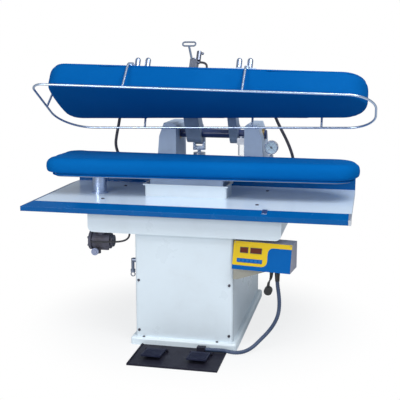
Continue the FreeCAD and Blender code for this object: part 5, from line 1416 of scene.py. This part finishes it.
# %% [markdown]
# Each cover is drawn tight by a cord in its hem. On the buck the hem lies under the pad, round the steel
# plate, and on the head it lies on top, round the lid. A hem is a bead with gathers in it, so the hose
# tree makes it once more, led round a rim, with a steep wrap that looks like bunched cloth.

# %% Hems of the covers
HEM_STEP = 0.012
GATHER_PITCH = 0.011
GATHER_HEIGHT = 0.0009
BUCK_HEM_OUT = 0.012
BUCK_HEM_DROP = 0.0035
HEAD_HEM_OUT = 0.0045
HEAD_HEM_DROP = 0.0015

plate_points = [vertex.co.copy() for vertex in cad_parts["buck_plate"].data.vertices]
PLATE_TOP = max(point.z for point in plate_points)


def hem(name, places, radius, finish, body):
    bead = grown(name, plain_line(name + "_line", places, closed=True), HOSE, {
        "Radius": radius / 1000, "Ring Spacing": GATHER_PITCH / 5, "Sides": 12, "Wrap Pitch": GATHER_PITCH,
        "Wrap Height": GATHER_HEIGHT, "Finish": finish})
    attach(bead, body)
    print(name, len(bead.data.polygons), "faces")


buck_rim = [(spot.x, spot.y, PLATE_TOP - BUCK_HEM_DROP)
            for spot in rim_of(plate_points, BUCK_HEM_OUT, HEM_STEP)]
hem("buck_hem", buck_rim, 4.0, BUCK_CLOTH, "frame")
head_rim = [opened((spot.x, spot.y, LID_LEVEL - HEAD_HEM_DROP))
            for spot in rim_of(lid_rim, HEAD_HEM_OUT, HEM_STEP)]
hem("head_hem", head_rim, 5.4, HEAD_CLOTH, "head")

# %% [markdown]
# The stage is a pale floor under a white sky. Near the press the floor keeps a share of an ordinary matt
# surface, so it takes a faint soft shadow. Further out it fades to plain white, but only for the camera, and
# the edge between floor and sky disappears. The press itself is lit by the real floor and sky, so its
# chrome has something darker than white to mirror.

# %% Floor
FLOOR_HALF = 14.0
FADE_START = 0.40
FADE_END = 1.00
WHITE_NEAR = 0.78
WHITE = (1, 1, 1, 1)


def seen_directly(tree):
    """One for what the camera sees, also through glass, and nothing for light that bounces."""
    rays = put(tree, "ShaderNodeLightPath").outputs
    return reckon(tree, "MAXIMUM", rays["Is Camera Ray"], rays["Is Transmission Ray"])


floor_mesh = bpy.data.meshes.new("floor")
floor_mesh.from_pydata([(-FLOOR_HALF, -FLOOR_HALF, 0), (FLOOR_HALF, -FLOOR_HALF, 0),
                        (FLOOR_HALF, FLOOR_HALF, 0), (-FLOOR_HALF, FLOOR_HALF, 0)], [], [(0, 1, 2, 3)])
FLOOR_PAINT, tree, shader = new_finish("floor_paint", {"Base Color": (0.66, 0.68, 0.70, 1), "Roughness": 0.9,
                                                       "Specular IOR Level": 0.1})
away = on_vectors(tree, "LENGTH", place_on(tree), answer="Value")
whiteness = spread(tree, away, FADE_START, FADE_END, WHITE_NEAR, 1.0, smooth=True)
fade = reckon(tree, "MULTIPLY", whiteness, seen_directly(tree))
white = put(tree, "ShaderNodeEmission", {"Color": WHITE, "Strength": 1.0}).outputs[0]
mixed = put(tree, "ShaderNodeMixShader", {0: fade, 1: shader.outputs[0], 2: white}).outputs[0]
tree.links.new(mixed, tree.nodes["Material Output"].inputs["Surface"])
floor = add_piece("floor", floor_mesh, FLOOR_PAINT)
print("floor laid")

# %% [markdown]
# The light is plain studio light: one large soft lamp far in front on the left, about a metre above the
# head, a second one high on the right for the table, and an even sky. A low front light reaches under the
# table, and the head's pressing face, which looks down, stays in half shade.

# %% Lamps and sky
LAMP_SIZE = 2.6
SKY_COLOUR = (0.90, 0.95, 1.0, 1)
SKY_STRENGTH = 0.38


def soft_lamp(name, place, target, watts):
    lamp = bpy.data.lights.new(name, "AREA")
    lamp.shape = "RECTANGLE"
    lamp.size = LAMP_SIZE
    lamp.size_y = LAMP_SIZE
    lamp.energy = watts
    holder = bpy.data.objects.new(name, lamp)
    holder.location = place
    holder.rotation_euler = (Vector(target) - Vector(place)).to_track_quat("-Z", "Y").to_euler()
    bpy.context.scene.collection.objects.link(holder)


soft_lamp("key_lamp", (-2.0, -5.2, 2.4), (0, 0, 0.85), 122)
soft_lamp("top_lamp", (1.9, -2.1, 4.2), (0.15, -0.15, 0.7), 150)

sky = bpy.data.worlds.new("studio_sky")
bpy.context.scene.world = sky
sky.use_nodes = True
tree = sky.node_tree
even = tree.nodes["Background"]
even.inputs["Color"].default_value = SKY_COLOUR
even.inputs["Strength"].default_value = SKY_STRENGTH
white = put(tree, "ShaderNodeBackground", {"Color": WHITE, "Strength": 1.0}).outputs[0]
mixed = put(tree, "ShaderNodeMixShader", {0: seen_directly(tree), 1: even.outputs[0], 2: white}).outputs[0]
tree.links.new(mixed, tree.nodes["World Output"].inputs["Surface"])
bpy.context.scene.view_settings.view_transform = "Standard"
print("lamps and sky ready")
